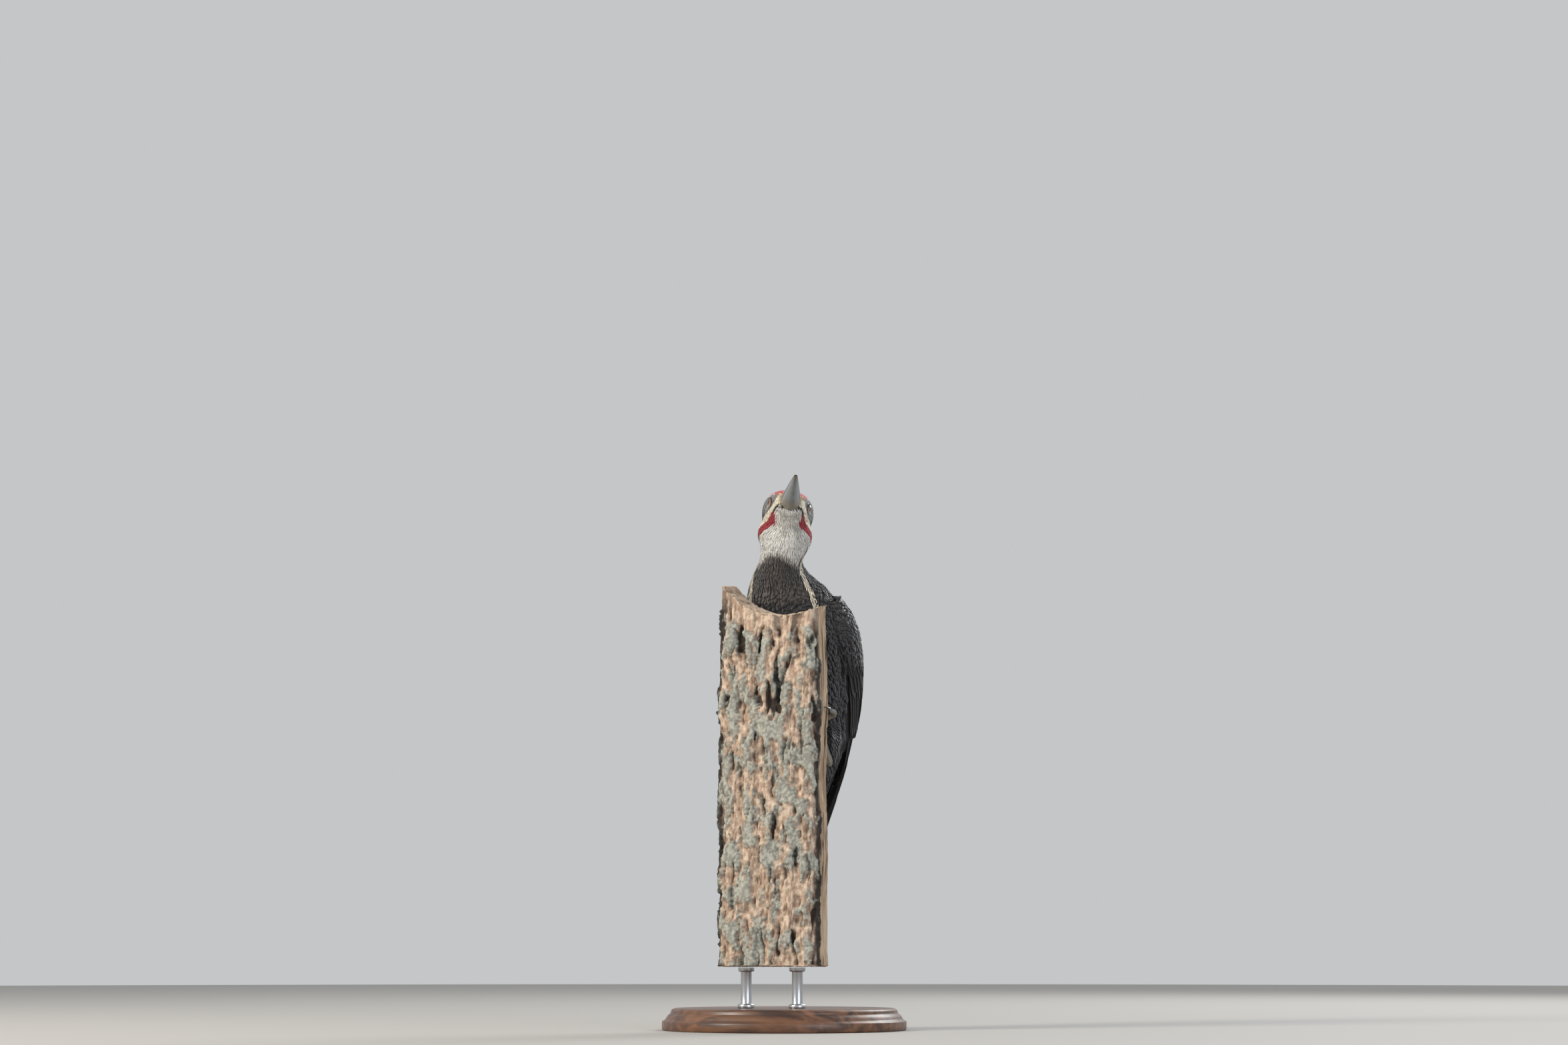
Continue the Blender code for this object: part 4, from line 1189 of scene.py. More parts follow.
def on_tail(height, share):
    """The back of the tail at this height; share runs from -1 at its right edge to 1 at its left."""
    top = tail_points[:, 2].max() - 1 * MM
    if height > top:
        spot, out = on_tail(top, share)
        return spot + Vector((-TAIL_NARROWS * share, TAIL_SLOPE, 1)) * (height - top), out
    ring = tail_points[abs(tail_points[:, 2] - height) < 0.012]
    half = ring[:, 0].max() if len(ring) else 0.02
    x = half * share * TAIL_MARGIN
    spot = trees["tail"].ray_cast(Vector((x, 0.2, height)), Vector((0, -1, 0)))[0]
    if spot is None:
        spot = trees["tail"].find_nearest(Vector((x, 0.02, height)))[0]
    return spot, Vector((0.25 * share, 1, 0.25)).normalized()


def under_tail(height, share):
    """In front of the tail: a straight run from the coat down to the tail, clear of both."""
    part = (COVERT_TOP - height) / (COVERT_TOP - COVERT_FOOT)
    y = on_tail(COVERT_TOP, share * 0.3)[0].y
    x = share * (8 + 6 * part) * MM

    def front(name, at):
        spot, _, _, _ = trees[name].ray_cast(Vector((x, -0.2, at)), Vector((0, 1, 0)))
        return spot.y if spot else 1.0

    top = min(front("trunk", COVERT_TOP), y) - SWELL
    line = top + (front("tail", COVERT_FOOT) - top) * part
    bulge = min(front("trunk", height) - SWELL, front("tail", height))
    rooted = 3.2 * MM * (1 - step(0, 0.35, part))
    return Vector((x, min(line, bulge) + rooted, height)), Vector((0.2 * share, -1, -0.15)).normalized()


def tail_quills():
    """The coverts under the tail, the quills from the outermost pair inwards, and the coverts above them."""
    feathers = Feathers("tail_quills")
    for k, share in enumerate((-1, 1, -0.5, 0.5, 0)):
        path = straight((COVERT_TOP, share), (COVERT_FOOT - 3 * MM + 5 * MM * abs(share), share))
        quill(
            feathers, under_tail, path, 9 * MM, varied(JET, COVERT_VARIED),
            level=(-0.5 - 0.25 * k) * MM, stations=8, tip=0.5
        )
    for k in reversed(range(len(RECTRIX_TIPS))):
        for side in (-1, 1):
            part = k / (len(RECTRIX_TIPS) - 1)
            tip = (RECTRIX_TIPS[k] * MM, side * (0.17 + 0.66 * part))
            quill(
                feathers, on_tail, straight((0.138, side * (0.12 + 0.5 * part)), tip), (14 - 2 * part) * MM,
                varied(JET, QUILL_VARIED), level=(0.1 + 2.6 * part) * MM, stations=16, tip=0.42, shaft=0.5,
                roll=0.3 * MM * side
            )
    for k in range(6):
        share = -0.8 + 1.6 * k / 5
        path = straight((0.136, share * 0.75), ((108 + 10 * abs(share)) * MM, share * 0.85))
        quill(
            feathers, on_tail, path, 10 * MM, varied(JET, COVERT_VARIED),
            level=-0.9 * MM, stations=8, tip=0.4
        )
    return feathers.made(black_plumage)


keep(tail_quills(), "plumage_black", "tail")


# %% [markdown]
# ## Bill
# The bill is horn over bone: a long straight chisel, broad at the base, with a sharp ridge along its top and
# a second ridge along each side that runs forward from the nostril. It is drawn out from one ring, station
# by station, as one would extrude it by hand, and each ring is set to the section that its station needs.

# %% Drawing out a form
SHARP = math.radians(50)     # edges sharper than this stay sharp


def next_point(mesh, index):
    """The number of the new point that the last extrusion drew out of this one."""
    ends = [edge.other_vert(mesh.verts[index]) for edge in mesh.verts[index].link_edges]
    return next(end.index for end in ends if end.select)


def lofted(name, rings, material):
    """A closed form through rings of points, made by extruding one circle from ring to ring."""
    deselect()
    bpy.ops.mesh.primitive_circle_add(vertices=len(rings[0]), radius=0.01, fill_type="NOTHING")
    obj = bpy.context.active_object
    obj.name = name
    bpy.ops.object.mode_set(mode="EDIT")
    bpy.ops.mesh.select_all(action="SELECT")
    mesh = bmesh.from_edit_mesh(obj.data)
    mesh.verts.ensure_lookup_table()
    line = list(range(len(rings[0])))
    first = line
    for k, ring in enumerate(rings):
        if k:
            bpy.ops.mesh.extrude_region_move()
            mesh = bmesh.from_edit_mesh(obj.data)
            mesh.verts.ensure_lookup_table()
            line = [next_point(mesh, i) for i in line]
        for i, point in zip(line, ring):
            mesh.verts[i].co = point
    mesh.faces.new([mesh.verts[i] for i in line])
    mesh.faces.new([mesh.verts[i] for i in reversed(first)])
    bpy.ops.mesh.select_all(action="SELECT")
    bpy.ops.mesh.normals_make_consistent(inside=False)
    bpy.ops.object.mode_set(mode="OBJECT")
    obj.data.materials.append(material)
    obj.matrix_world = Matrix()
    choose(obj)
    bpy.ops.object.shade_smooth_by_angle(angle=SHARP)
    return obj


def paint(obj, colour_at):
    """Colours the points of a mesh: colour_at(point) gives linear red, green and blue."""
    colour_points(obj.data, "Tint", [colour_at(vert.co) for vert in obj.data.vertices])


def tinted(name, roughness, grain, bumps, **sockets):
    """A material for painted meshes, with a fine grain of this many cycles per metre."""
    return grained(name, roughness, "Tint", grain, (5.0, 0.6), (0.86, 1.12), bumps, **sockets)


# %% Bill
BILL_LONG = 50               # the horn's length, in mm
BILL_ROOT = BILL_LENGTH / MM - BILL_LONG       # forward place of its root in head axes, in mm
# share of the length, half width, height of the top, of the gape and of the under edge, in mm
BILL_KEYS = [
    (0, 7.6, 3.6, -5, -11.6), (0.15, 6.9, 2.6, -5.2, -11.4), (0.4, 5.2, 0.4, -5.6, -10.6),
    (0.7, 3.3, -2.4, -6.2, -9.3), (0.93, 1.7, -5, -6.7, -8), (1, 1.2, -6.1, -6.9, -7.4),
]
BILL_STATIONS = 40
GAPE_GAP = 0.18              # half the slit between the halves, in mm
SIDE_RIDGE = 0.35            # how far the ridge along each side stands out at the root, in mm
# Half a section of each half of the bill, from the gape to the middle line. Each point has the share of the
# half width, the share of the side ridge, and how far from the gape: so many mm and a share of the height.
UPPER_HALF = [
    (0, 0, 0.3, 0), (0.55, 0, 0.15, 0), (0.93, 0, 0, 0), (1, 0, 0, 0.06), (0.985, 0, 0, 0.2),
    (0.93, 1, 0, 0.36), (0.86, 1, 0, 0.46), (0.70, -0.4, 0, 0.58), (0.54, -0.3, 0, 0.72),
    (0.36, 0, 0, 0.86), (0.15, 0, 0, 0.97), (0, 0, 0, 1),
]
LOWER_HALF = [
    (0, 0, 0.3, 0), (0.55, 0, 0.15, 0), (0.90, 0, 0, 0), (0.965, 0, 0, 0.07), (0.93, 0, 0, 0.25),
    (0.85, 0, 0, 0.45), (0.70, 0, 0, 0.66), (0.49, 0, 0, 0.83), (0.24, 0, 0, 0.95), (0.07, 0, 0, 0.995),
    (0, 0, 0, 1),
]
horn = tinted("Bill horn", 0.34, 900.0, (0.25, 0.0002), Coat_Weight=0.25, Coat_Roughness=0.25)


def bill_size(share):
    """Half width and the heights of top, gape and under edge at this share of the length."""
    keys = list(zip(*BILL_KEYS))
    return [float(np.interp(share, keys[0], keys[k])) for k in (1, 2, 3, 4)]


def bill_section(share, half, up):
    """Half a section as (sideways, up) in mm. up is 1 for the upper half of the bill and -1 for the lower."""
    wide, top, gape, under = bill_size(share)
    base = gape + GAPE_GAP * up
    tall = abs((top if up > 0 else under) - base)
    ridge = SIDE_RIDGE * (1 - share)
    return [(w * wide + r * ridge, base + up * (more + part * tall)) for w, r, more, part in half]


def bill_rings(half, up):
    """Rings from the root to the tip, where two small ones round the end off."""
    rings = []
    for k in range(BILL_STATIONS + 1):
        share = k / BILL_STATIONS
        section = bill_section(share, half, up)
        outline = section + [(-s, u) for s, u in reversed(section[1:-1])]
        forward = BILL_ROOT + BILL_LONG * share
        rings.append([HEAD @ (Vector((forward, side, high)) * MM) for side, high in outline])
    last = rings[-1]
    centre = sum(last, Vector()) / len(last)
    rings[-1] = [centre.lerp(p, 0.82) for p in last]
    rings.insert(-1, [centre.lerp(p, 0.98) - head_forward * 0.35 * MM for p in last])
    return rings


def streaked(colour, place, amount, shift):
    """The colour with fine streaks along the bill; shift picks another part of the noise."""
    streak = noise.noise(Vector((place.x * 0.10, place.y * 1.6 + shift, place.z * 1.6)))
    return tuple(c * (1 + amount * streak) for c in colour)


def upper_colour(point):
    place = (TO_HEAD @ point) / MM
    share = (place.x - BILL_ROOT) / BILL_LONG
    _, top, gape, _ = bill_size(share)
    high = (place.z - gape) / max(top - gape, 0.5)
    base = blend(linear("#6d7174"), linear("#43464a"), step(0.35, 1.0, high))
    return streaked(blend(base, linear("#5b534b"), step(0.8, 1.0, share) * 0.7), place, 0.22, 0)


def lower_colour(point):
    place = (TO_HEAD @ point) / MM
    share = (place.x - BILL_ROOT) / BILL_LONG
    base = blend(linear("#7b7263"), linear("#7f8487"), step(0.05, 0.4, share))
    return streaked(blend(base, linear("#6f6358"), step(0.72, 1.0, share) * 0.8), place, 0.2, 7)


for bill_name, half, up, colouring in (
    ("bill_upper", UPPER_HALF, 1, upper_colour), ("bill_lower", LOWER_HALF, -1, lower_colour)
):
    bill = lofted(bill_name + "_horn", bill_rings(half, up), horn)
    paint(bill, colouring)
    keep(bill, "bill", bill_name)

# %% [markdown]
# ## Eyes
# A bird's eye is a globe that hardly moves, mostly hidden, with a clear dome over the iris. Only the dome
# shows inside a ring of bare, beaded skin. The globe is drawn out in rings round the eye's axis, closer
# together where the pupil and the iris end, so that their edges are sharp. A clear coat gives the wet shine.

# %% Eye globes
EYE_SIZE = 5.8 * MM          # the globe's radius
PUPIL, IRIS = 18.0, 35.0     # half angles seen from the globe's centre, in degrees
EYE_RINGS = [
    1.5, 5, 10, 14, PUPIL - 0.4, PUPIL + 0.4, 20, 25, 30, IRIS - 0.5, IRIS + 0.5,
    40, 47, 56, 68, 80, 95, 110, 125, 140, 155, 168, 177,
]
DOME = 0.035                 # how far the clear dome stands out, as a share of the radius
EYE_AHEAD = 0.28             # how far the opening faces ahead, as a slope
EYE_DOWN = 0.02
GAZE = 0.12                  # how much further ahead the bird looks
PUPIL_BLACK = linear("#08080a")
IRIS_AMBER = linear("#a9601f")
IRIS_DARK = linear("#5d3517")
GLOBE = linear("#1d1b1c")
EYE_TURN = 48                # points in a ring
wet_eye = tinted("Wet eye", 0.18, 2500.0, (0.0, 0.0001), Coat_Weight=1.0, Coat_Roughness=0.03)


def eye_axes(side, ahead=0.0):
    """The way the eye faces, or looks when it looks further ahead, and two ways across it."""
    out = (head_left * side + head_forward * (EYE_AHEAD + ahead) - head_up * EYE_DOWN).normalized()
    up = (head_up - out * head_up.dot(out)).normalized()
    return out, up, out.cross(up)


def make_eye(name, centre, side):
    """The globe, with a dome over the iris, a black pupil and an amber iris with fine rays."""
    out, up, across = eye_axes(side, GAZE)
    rings = []
    for angle in EYE_RINGS:
        bulge = 1 + DOME * step(44, 20, angle)
        high, wide = math.cos(math.radians(angle)) * bulge, math.sin(math.radians(angle))
        rings.append([
            centre + (out * high + (up * math.cos(turn) + across * math.sin(turn)) * wide) * EYE_SIZE
            for turn in np.linspace(0, 2 * math.pi, EYE_TURN, endpoint=False)
        ])
    obj = lofted(name + "_globe", rings, wet_eye)

    def colour(point):
        way = (point - centre).normalized()
        angle = math.degrees(math.acos(min(1, way.dot(out))))
        if angle < PUPIL:
            return PUPIL_BLACK
        if angle > IRIS:
            return GLOBE
        turn = math.atan2(way.dot(across), way.dot(up))
        rays = 0.5 + 0.9 * noise.noise(Vector((math.cos(turn) * 9, math.sin(turn) * 9, side)))
        ring = step(IRIS, IRIS - 6, angle) * (0.6 + 0.4 * step(PUPIL, PUPIL + 5, angle))
        return blend(IRIS_DARK, IRIS_AMBER, ring * (0.55 + 0.5 * rays))

    paint(obj, colour)
    keep(obj, "eye", name)


for name, centre, side in (("eye_left", left_eye, 1), ("eye_right", right_eye, -1)):
    make_eye(name, centre, side)

# %% Eyelids
LID_RING = 3.75 * MM         # radius of the opening's rim
LID_THICK = 0.62 * MM
LID_CLEAR = 0.12 * MM        # how far the rim stands off the globe
LID_BEADS = 26
LID_PALE, LID_DARK = linear("#9a9894"), linear("#4c4b4c")
lid_skin = tinted("Bare eyelid skin", 0.55, 1600.0, (0.4, 0.0003))


def make_lid(name, centre, side):
    """A ring of small beads of skin round the eye, thicker above, where it makes a brow."""
    out, up, across = eye_axes(side)
    deselect()
    bpy.ops.mesh.primitive_torus_add(
        major_segments=104, minor_segments=14, major_radius=LID_RING, minor_radius=LID_THICK
    )
    obj = bpy.context.active_object
    obj.name = name
    depth = math.sqrt(EYE_SIZE ** 2 - LID_RING ** 2)
    for vert in obj.data.vertices:
        turn = math.atan2(vert.co.y, vert.co.x)
        radius = math.hypot(vert.co.x, vert.co.y)
        bead = 1 + 0.16 * abs(math.sin(turn * LID_BEADS / 2)) * (1 if radius > LID_RING else 0.4)
        brow = 1 + 0.25 * max(math.cos(turn), 0)
        spread = LID_RING + (radius - LID_RING) * bead * brow
        spread = spread * (1 - 0.05 * abs(math.cos(turn)) ** 2)
        high = vert.co.z * bead * brow + depth + LID_CLEAR
        vert.co = centre + out * high + up * math.cos(turn) * spread + across * math.sin(turn) * spread
    obj.data.materials.append(lid_skin)
    obj.matrix_world = Matrix()
    obj.data.shade_smooth()
    choose(obj)
    bpy.ops.object.mode_set(mode="EDIT")
    bpy.ops.mesh.select_all(action="SELECT")
    bpy.ops.mesh.normals_make_consistent(inside=False)
    bpy.ops.object.mode_set(mode="OBJECT")
    paint(obj, lambda p: blend(LID_DARK, LID_PALE, step(0.2, -0.9, (p - centre).normalized().dot(up) * 1.6)))
    keep(obj, "scaly_skin")


for name, centre, side in (("eyelid_left", left_eye, 1), ("eyelid_right", right_eye, -1)):
    make_lid(name, centre, side)

# %% [markdown]
# ## Feet
# Legs and toes are bare and covered with scutes, horny plates that overlap like a roof's ridge tiles. The
# solid foot is copied, its faces are remeshed finely, and rings of plates are pressed into it round the point
# where the toes meet. The claws are smooth, hooked and sharp, and keep a plain horn finish.

# %% Legs and feet
SCUTE = 1.7 * MM             # length of a plate
SCUTE_HIGH = 0.16 * MM
LEG_VOXEL, CLAW_VOXEL = 0.34 * MM, 0.2 * MM
LEG_SWELL = 0.5 * MM         # closes the slit between foot and shank while they are remeshed
CLAW_SWELL = 0.08 * MM       # makes up for what smoothing takes off a claw
TOES_MEET = 4 * MM           # the toes meet this far above the shank's top
scales = tinted("Scaly grey skin", 0.5, 1400.0, (0.5, 0.0003))
claw_horn = tinted("Claw horn", 0.3, 900.0, (0.2, 0.0002), Coat_Weight=0.3, Coat_Roughness=0.2)


def refined(names, name, voxel, rounds, material, swell=0.0):
    """The solids again, with fine even faces that can be shaped."""
    obj = melted(name, joined(names, swell), voxel, rounds)
    obj.data.materials.clear()
    obj.data.materials.append(material)
    obj.data.shade_smooth()
    return obj


def add_scutes(obj, origin, away):
    """Raises overlapping plates in rings round origin, on the side that looks along away."""
    amounts = []
    for vert in obj.data.vertices:
        saw = ((vert.co - origin).length / SCUTE) % 1.0
        side = step(-0.35, 0.35, vert.normal.dot(away))
        plate = (saw ** 0.7) * side + (0.25 + 0.5 * noise.noise(vert.co / (0.55 * MM))) * (1 - side)
        amounts.append((plate - 0.6) * SCUTE_HIGH)
    pushed(obj.data, amounts)


LEG_GREY, LEG_DARK, LEG_SOLE = linear("#63625f"), linear("#3c3b3b"), linear("#8c8474")
CLAW_DARK, CLAW_PALE = linear("#2a2826"), linear("#55504a")
AWAY = Vector((0, 1, 0.25)).normalized()       # the way the upper side of a foot faces, away from the trunk


def leg_colours(obj, origin):
    """Colours of the points: dark lines where plates end, and paler soles."""
    colours = []
    for vert in obj.data.vertices:
        saw = ((vert.co - origin).length / SCUTE) % 1.0
        base = blend(LEG_GREY, LEG_DARK, step(0.75, 1.0, saw) * 0.8)
        colours.append(blend(base, LEG_SOLE, step(0.1, -0.7, vert.normal.dot(AWAY)) * 0.7))
    return colours


def claw_colour(point):
    """Dark horn with paler clouds."""
    return blend(CLAW_DARK, CLAW_PALE, noise.noise(point / (1.5 * MM)) + 0.3)


for side_name in ("left", "right"):
    low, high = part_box("shank_" + side_name)
    meeting = Vector(((low.x + high.x) / 2, low.y, high.z + TOES_MEET))
    leg_parts = ["foot_" + side_name, "shank_" + side_name]
    leg = refined(leg_parts, "leg_" + side_name + "_scales", LEG_VOXEL, 2, scales, LEG_SWELL)
    pushed(leg.data, np.full(len(leg.data.vertices), CLEAR - LEG_SWELL))
    add_scutes(leg, meeting, AWAY)
    colour_points(leg.data, "Tint", leg_colours(leg, meeting))
    keep(leg, "scaly_skin", *leg_parts)
    for claw_name in [name for name in nodes if name.startswith("claw_") and name.endswith(side_name)]:
        claw = refined([claw_name], claw_name + "_horn", CLAW_VOXEL, 2, claw_horn, CLAW_SWELL)
        paint(claw, claw_colour)
        keep(claw, "claw", claw_name)

# %% [markdown]
# ## Palm trunk
# A palm has no true bark. Its outside is the weathered ends of its own fibres: a tan, crumbling ground with
# upright strands, broken by slits. Lichen sits on it in grey-green knobs, thick and granular. Where the
# hole was cut the rim is bare and tan, and the split sides and back show long fibres with darker bundles
# among them. The solid is remeshed at about a millimetre, then noise moves each point and picks its colour.
# The slits and hollows are darkened with painted shade: the deeper a place lies, the darker it is painted.

# %% Bark places
PERCH_VOXEL = 0.95 * MM
PALM_RADIUS, PALM_THICK, BARK_THICK = 187 * MM, 34 * MM, 9 * MM
BARE_RIM = 26 * MM           # how far the rim's wear reaches down the bark
RIM_STRIP = 3 * MM           # half the width of the strips in which the rim's height is measured
BARK_BLEND = 2 * MM          # over this to each side the bark gives way to split wood
BARK_HIGHEST, WOOD_HIGHEST = 1.0, -0.05        # the relief's limits in mm; wood stays clear of feet and tail
perch_low, perch_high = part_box("perch")
palm = tinted("Weathered palm fibre", 0.95, 1100.0, (1.0, 0.0011))
perch = refined(["perch"], "palm_trunk", PERCH_VOXEL, 1, palm)
perch_points = np.array([tuple(v.co) for v in perch.data.vertices])
RIM_XS = np.linspace(perch_low.x + RIM_STRIP, perch_high.x - RIM_STRIP, 20)
RIM_ZS = [perch_points[abs(perch_points[:, 0] - x) < RIM_STRIP][:, 2].max() for x in RIM_XS]


def below_rim(point):
    """How far below the cut rim a place lies."""
    return max(float(np.interp(point.x, RIM_XS, RIM_ZS)) - point.z, 0.0)


def below_bark(point):
    """How far a place lies inside the trunk's round outside."""
    return point.y - (perch_high.y - PALM_THICK + point.x * point.x / (2 * PALM_RADIUS))


def scaled(point, x, y, z):
    """A place in a noise whose features are this wide, deep and tall, in mm."""
    return Vector((point.x / x, point.y / y, point.z / z)) / MM


def grains(point, size):
    """Round grains about this many mm wide: 1 on top, 0 between."""
    distances, _ = noise.voronoi(scaled(point, size, size, size))
    return max(0.0, 1 - 1.25 * distances[0])


print("palm trunk has", len(perch_points), "points")

# %% Bark relief
LICHEN, LICHEN_PALE, LICHEN_DARK = linear("#96958a"), linear("#c0bfb2"), linear("#605f58")
GROUND, GROUND_PALE, GROUND_DARK = linear("#b59a84"), linear("#e4ceb6"), linear("#75604f")
CREVICE_SHADE, SLIT_DEEP = linear("#1b1716"), 3.1       # painted shade for the slits and hollows, then the slits' depth in mm
FIBRE, FIBRE_PALE, BUNDLE = linear("#a78a6e"), linear("#cdb698"), linear("#4c3424")


def outside(point):
    """Relief in mm and colour of the weathered outside, with painted shade darkening its slits and hollows.
    """
    swirl = noise.noise_vector(scaled(point, 8, 8, 12))
    moved = point + Vector((swirl.x * 2.2, swirl.y, swirl.z * 3)) * MM
    bare = step(BARE_RIM, 7 * MM, below_rim(point) + swirl.x * 6 * MM)
    lump = noise.fractal(scaled(moved, 9, 9, 19), 0.75, 2.3, 4) + 0.25 * grains(moved, 5) - 0.1
    knob = step(-0.06, 0.16, lump - 1.1 * bare)
    strand = noise.fractal(scaled(moved, 1.5, 1.5, 13), 0.8, 2.1, 3)
    crumb = noise.fractal(scaled(point, 3.2, 3.2, 4.5), 0.7, 2.2, 3)
    grain = grains(point, 2.1)
    slit_noise = noise.noise(scaled(moved, 4.4, 4.4, 21) + Vector((7, 3, 1))) + 0.12 * strand
    slit = step(0.26, 0.44, slit_noise) * (1 - 0.5 * bare)
    high = knob * (0.5 + 0.75 * grain + 0.5 * crumb) + (1 - knob) * (-1.0 + 0.55 * strand + 0.35 * crumb)
    relief = high - SLIT_DEEP * slit
    lichen = blend(LICHEN, LICHEN_PALE, step(0.1, 0.75, grain + 0.4 * crumb))
    lichen = blend(LICHEN_DARK, lichen, step(-0.1, 0.4, grain + 0.5 * lump))
    ground = blend(GROUND, GROUND_PALE, step(-0.3, 0.7, crumb + 0.6 * strand))
    ground = blend(GROUND_DARK, ground, step(-0.9, -0.1, strand + 0.5 * crumb + 0.5 * bare))
    colour = blend(ground, lichen, knob)
    # painted shade: the deeper the surface lies below the round outside, the nearer its colour goes to near
    # black, less so on the worn rim
    sunk = below_bark(point) / MM - 1.2 + SLIT_DEEP * slit - 0.6 * high
    return relief, blend(colour, CREVICE_SHADE, 0.92 * step(0.8, 3.6, sunk) * (1 - 0.6 * bare))


def split_wood(point):
    """Relief in mm and colour of the split sides and back: long fibres and darker bundles."""
    sway = noise.noise_vector(scaled(point, 30, 30, 60)) * 3 * MM
    fine = noise.fractal(scaled(point + sway, 1.0, 1.0, 34), 0.9, 2.0, 3)
    bundle = noise.noise(scaled(point + sway, 1.9, 1.9, 55) + Vector((3, 9, 4)))
    splinter = noise.fractal(scaled(point + sway, 6, 6, 45), 0.8, 2.2, 3)
    relief = -0.55 + 0.4 * fine + 0.4 * splinter - 0.5 * step(0.25, 0.5, bundle)
    colour = blend(FIBRE, FIBRE_PALE, step(-0.6, 0.7, fine + 0.4 * splinter))
    return relief, blend(colour, BUNDLE, 0.85 * step(0.18, 0.42, bundle) + 0.25 * step(0.1, -0.6, splinter))


def cut_rim(point):
    """Relief in mm and colour of the rim and the lower end, where fibres are cut across."""
    crumb = noise.fractal(scaled(point, 3, 3, 3), 0.7, 2.2, 4)
    ends = grains(point, 1.9)
    colour = blend(FIBRE, GROUND_PALE, step(-0.5, 0.6, crumb + 0.4 * ends))
    return -0.8 + 0.8 * crumb + 0.5 * ends, blend(colour, BUNDLE, 0.5 * step(0.12, 0.0, ends))


def shape_trunk(obj):
    """Blends the three surfaces by the place and by the way it faces; nothing may grow towards the feet."""
    amounts, colours = [], []
    for vert in obj.data.vertices:
        point = vert.co
        rough = 2.5 * noise.noise(scaled(point, 6, 6, 9))
        depth = below_bark(point) + rough * MM
        to_end = min(below_rim(point), point.z - perch_low.z)
        bark = step(BARK_THICK + BARK_BLEND, BARK_THICK - BARK_BLEND, depth)
        cut = step(0.45, 0.8, abs(vert.normal.z)) * step(14 * MM, 5 * MM, to_end)
        kinds = ((outside, bark * (1 - cut)), (split_wood, (1 - bark) * (1 - cut)), (cut_rim, cut))
        relief, colour = 0.0, np.zeros(3)
        for surface, share in kinds:
            if share > 0:
                height, shade = surface(point)
                relief += share * height
                colour += share * np.array(shade)
        amounts.append(min(relief, BARK_HIGHEST if bark > 0.9 and cut < 0.1 else WOOD_HIGHEST) * MM)
        colours.append(colour)
    pushed(obj.data, amounts)
    colour_points(obj.data, "Tint", colours)


shape_trunk(perch)
keep(perch, "palm_wood", "perch")
print("bark, split wood and cut rim shaped")

# %% [markdown]
# ## Stand
# The stand is a turned, stained board with two steel rods that hold the trunk from below. The board gets the
# profile a lathe would give it: a small cove and a bead above a plain foot. The rods get collars.

# %% Stand board
BOARD_TURN, ROD_TURN = 96, 40          # points round each
board_low, board_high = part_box("stand_base")
wood, wood_shader = new_material("Stained and oiled board", 0.42, Coat_Weight=0.2, Coat_Roughness=0.3)


def stretched_noise(material, stretch, scale, detail, distortion=0.0):
    """A noise over the object's own axes, with this many cycles per metre along each times scale."""
    where = node(material, "ShaderNodeTexCoord")
    mapped = node(material, "ShaderNodeMapping", {"Vector": where.outputs["Object"], "Scale": stretch})
    inputs = {"Vector": mapped.outputs["Vector"], "Scale": scale, "Detail": detail, "Distortion": distortion}
    return node(material, "ShaderNodeTexNoise", inputs).outputs["Fac"]


def add_bumps(material, shader, heights, strength, depth):
    """Bumps of this depth in metres, from a socket that gives their height."""
    bump = node(material, "ShaderNodeBump", {"Height": heights, "Strength": strength, "Distance": depth})
    material.node_tree.links.new(bump.outputs["Normal"], shader.inputs["Normal"])


def wood_nodes():
    """Growth rings seen on a flat board: long stretched bands about 4 mm apart, with fine dark pores."""
    bands = stretched_noise(wood, (2.0, 22.0, 22.0), 6.0, 6.0, 0.6)
    ramp = node(wood, "ShaderNodeValToRGB", {"Fac": bands})
    for stop, (place, tone) in zip(ramp.color_ramp.elements, ((0.35, "#3b2519"), (0.68, "#7a5236"))):
        stop.position, stop.color = place, (*linear(tone), 1)
    wood.node_tree.links.new(ramp.outputs["Color"], wood_shader.inputs["Base Color"])
    add_bumps(wood, wood_shader, stretched_noise(wood, (60.0, 900.0, 900.0), 1.0, 2.0), 0.3, 0.0003)


wood_nodes()
BOARD_RADIUS, BOARD_TOP = (board_high.x - board_low.x) / 2 / MM, board_high.z / MM
# The edge's profile from the foot up: how far in from the radius, and the height, in mm.
BOARD_EDGE = [
    (1.2, 0), (0.4, 0.4), (0, 1.3), (0, 6.0), (0.4, 6.8), (1.4, 7.2), (2.4, 7.9), (3.0, 8.8), (3.6, 9.9),
    (4.7, 11.2), (5.8, 12.0), (6.5, 12.8), (6.6, 13.6), (6.9, 14.5), (7.7, BOARD_TOP - 0.7),
    (8.8, BOARD_TOP - 0.2), (10, BOARD_TOP),
]
PROFILE = [(0.5, 0), *((BOARD_RADIUS - inset, z) for inset, z in BOARD_EDGE), (0.5, BOARD_TOP)]


def turned(name, profile, centre, material, steps):
    """A closed form turned round an upright axis, from (radius, height) pairs in mm."""
    rings = [[Vector((centre[0] + r * MM * math.cos(a), centre[1] + r * MM * math.sin(a), z * MM))
              for a in np.linspace(0, 2 * math.pi, steps, endpoint=False)] for r, z in profile]
    return lofted(name, rings, material)


board = turned("stand_board", PROFILE, (0, 0), wood, BOARD_TURN)
keep(board, "stained_board", "stand_base")

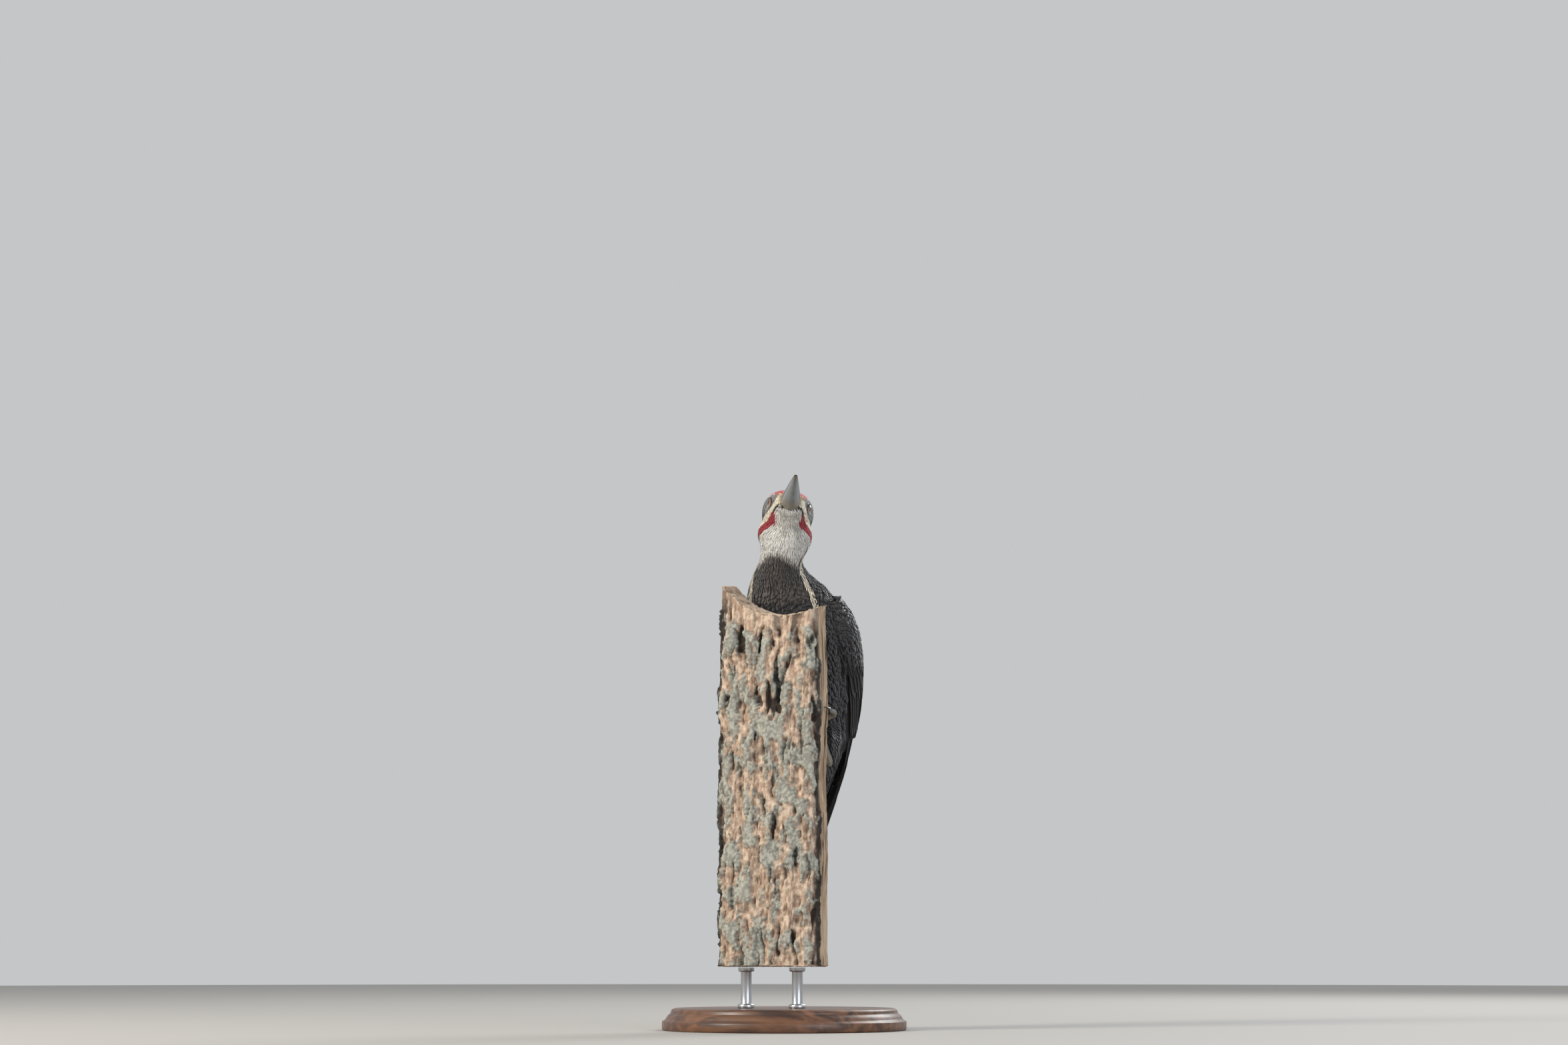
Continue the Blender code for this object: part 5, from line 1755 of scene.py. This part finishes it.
# %% Stand rods
# A rod's profile near each end: how far out from the rod's radius, and the distance from that end, in mm.
FOOT_COLLAR = [(2.2, 0), (2.4, 0.4), (2.4, 2.2), (1.9, 2.8), (0.2, 3.0), (0, 3.4)]
HEAD_COLLAR = [(2.0, 0), (2.0, 2.3), (1.6, 2.8), (0.2, 3.0), (0, 3.4)]
ROD_CORE = 0.4               # radius of the small flat in the middle of each end
steel, steel_shader = new_material("Brushed steel rod", 0.32, Metallic=1.0)
steel_shader.inputs["Base Color"].default_value = (*linear("#b9bbbd"), 1)
# Fine turning marks run round the rod, drawn about 0.3 mm apart so that they can show.
add_bumps(steel, steel_shader, stretched_noise(steel, (40.0, 40.0, 3200.0), 1.0, 2.0), 0.25, 0.0001)
for side_name in ("left", "right"):
    low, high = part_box("stand_rod_" + side_name)
    radius, foot, head = (high.x - low.x) / 2 / MM, low.z / MM, high.z / MM
    rod_profile = [(ROD_CORE, foot), *((radius + out, foot + up) for out, up in FOOT_COLLAR)]
    rod_profile += [(radius + out, head - down) for out, down in reversed(HEAD_COLLAR)] + [(ROD_CORE, head)]
    rod = turned("stand_rod_steel_" + side_name, rod_profile, (low + high) / 2, steel, ROD_TURN)
    keep(rod, "rod_steel", "stand_rod_" + side_name)

# %% [markdown]
# The skin is now sunk below the feathers and painted with the same markings.

# %% Sink and paint the skin
BARE_DEPTH = 2.6             # under the quills, where no small feathers grow, in mm
ROOT_SHARE = 0.9             # elsewhere the skin lies at this share of the depth of the feathers' roots
THIN_SHARE = 0.45            # but never sinks by more than this share of the flesh's own thickness


def sink_skin():
    """Draws the skin in under the coat and gives it the coat's markings."""
    mesh = skin.data
    depths, colours = [], []
    for vert in mesh.vertices:
        colour, kind, _ = kind_at(vert.co)
        depth = (KINDS[kind][3] * ROOT_SHARE if kind in KINDS else BARE_DEPTH) * MM
        thick = coat_surface.ray_cast(vert.co - vert.normal * MERGED, -vert.normal)[3]
        depths.append(-min(depth, THIN_SHARE * (thick or 1.0)))
        colours.append(colour)
    pushed(mesh, depths)
    colour_points(mesh, "Markings", colours)
    mesh.materials.clear()
    mesh.materials.append(face_plumage)
    mesh.shade_smooth()


sink_skin()
keep(skin, "plumage_black", *[name for name in FLESH if not name.startswith("eye")])
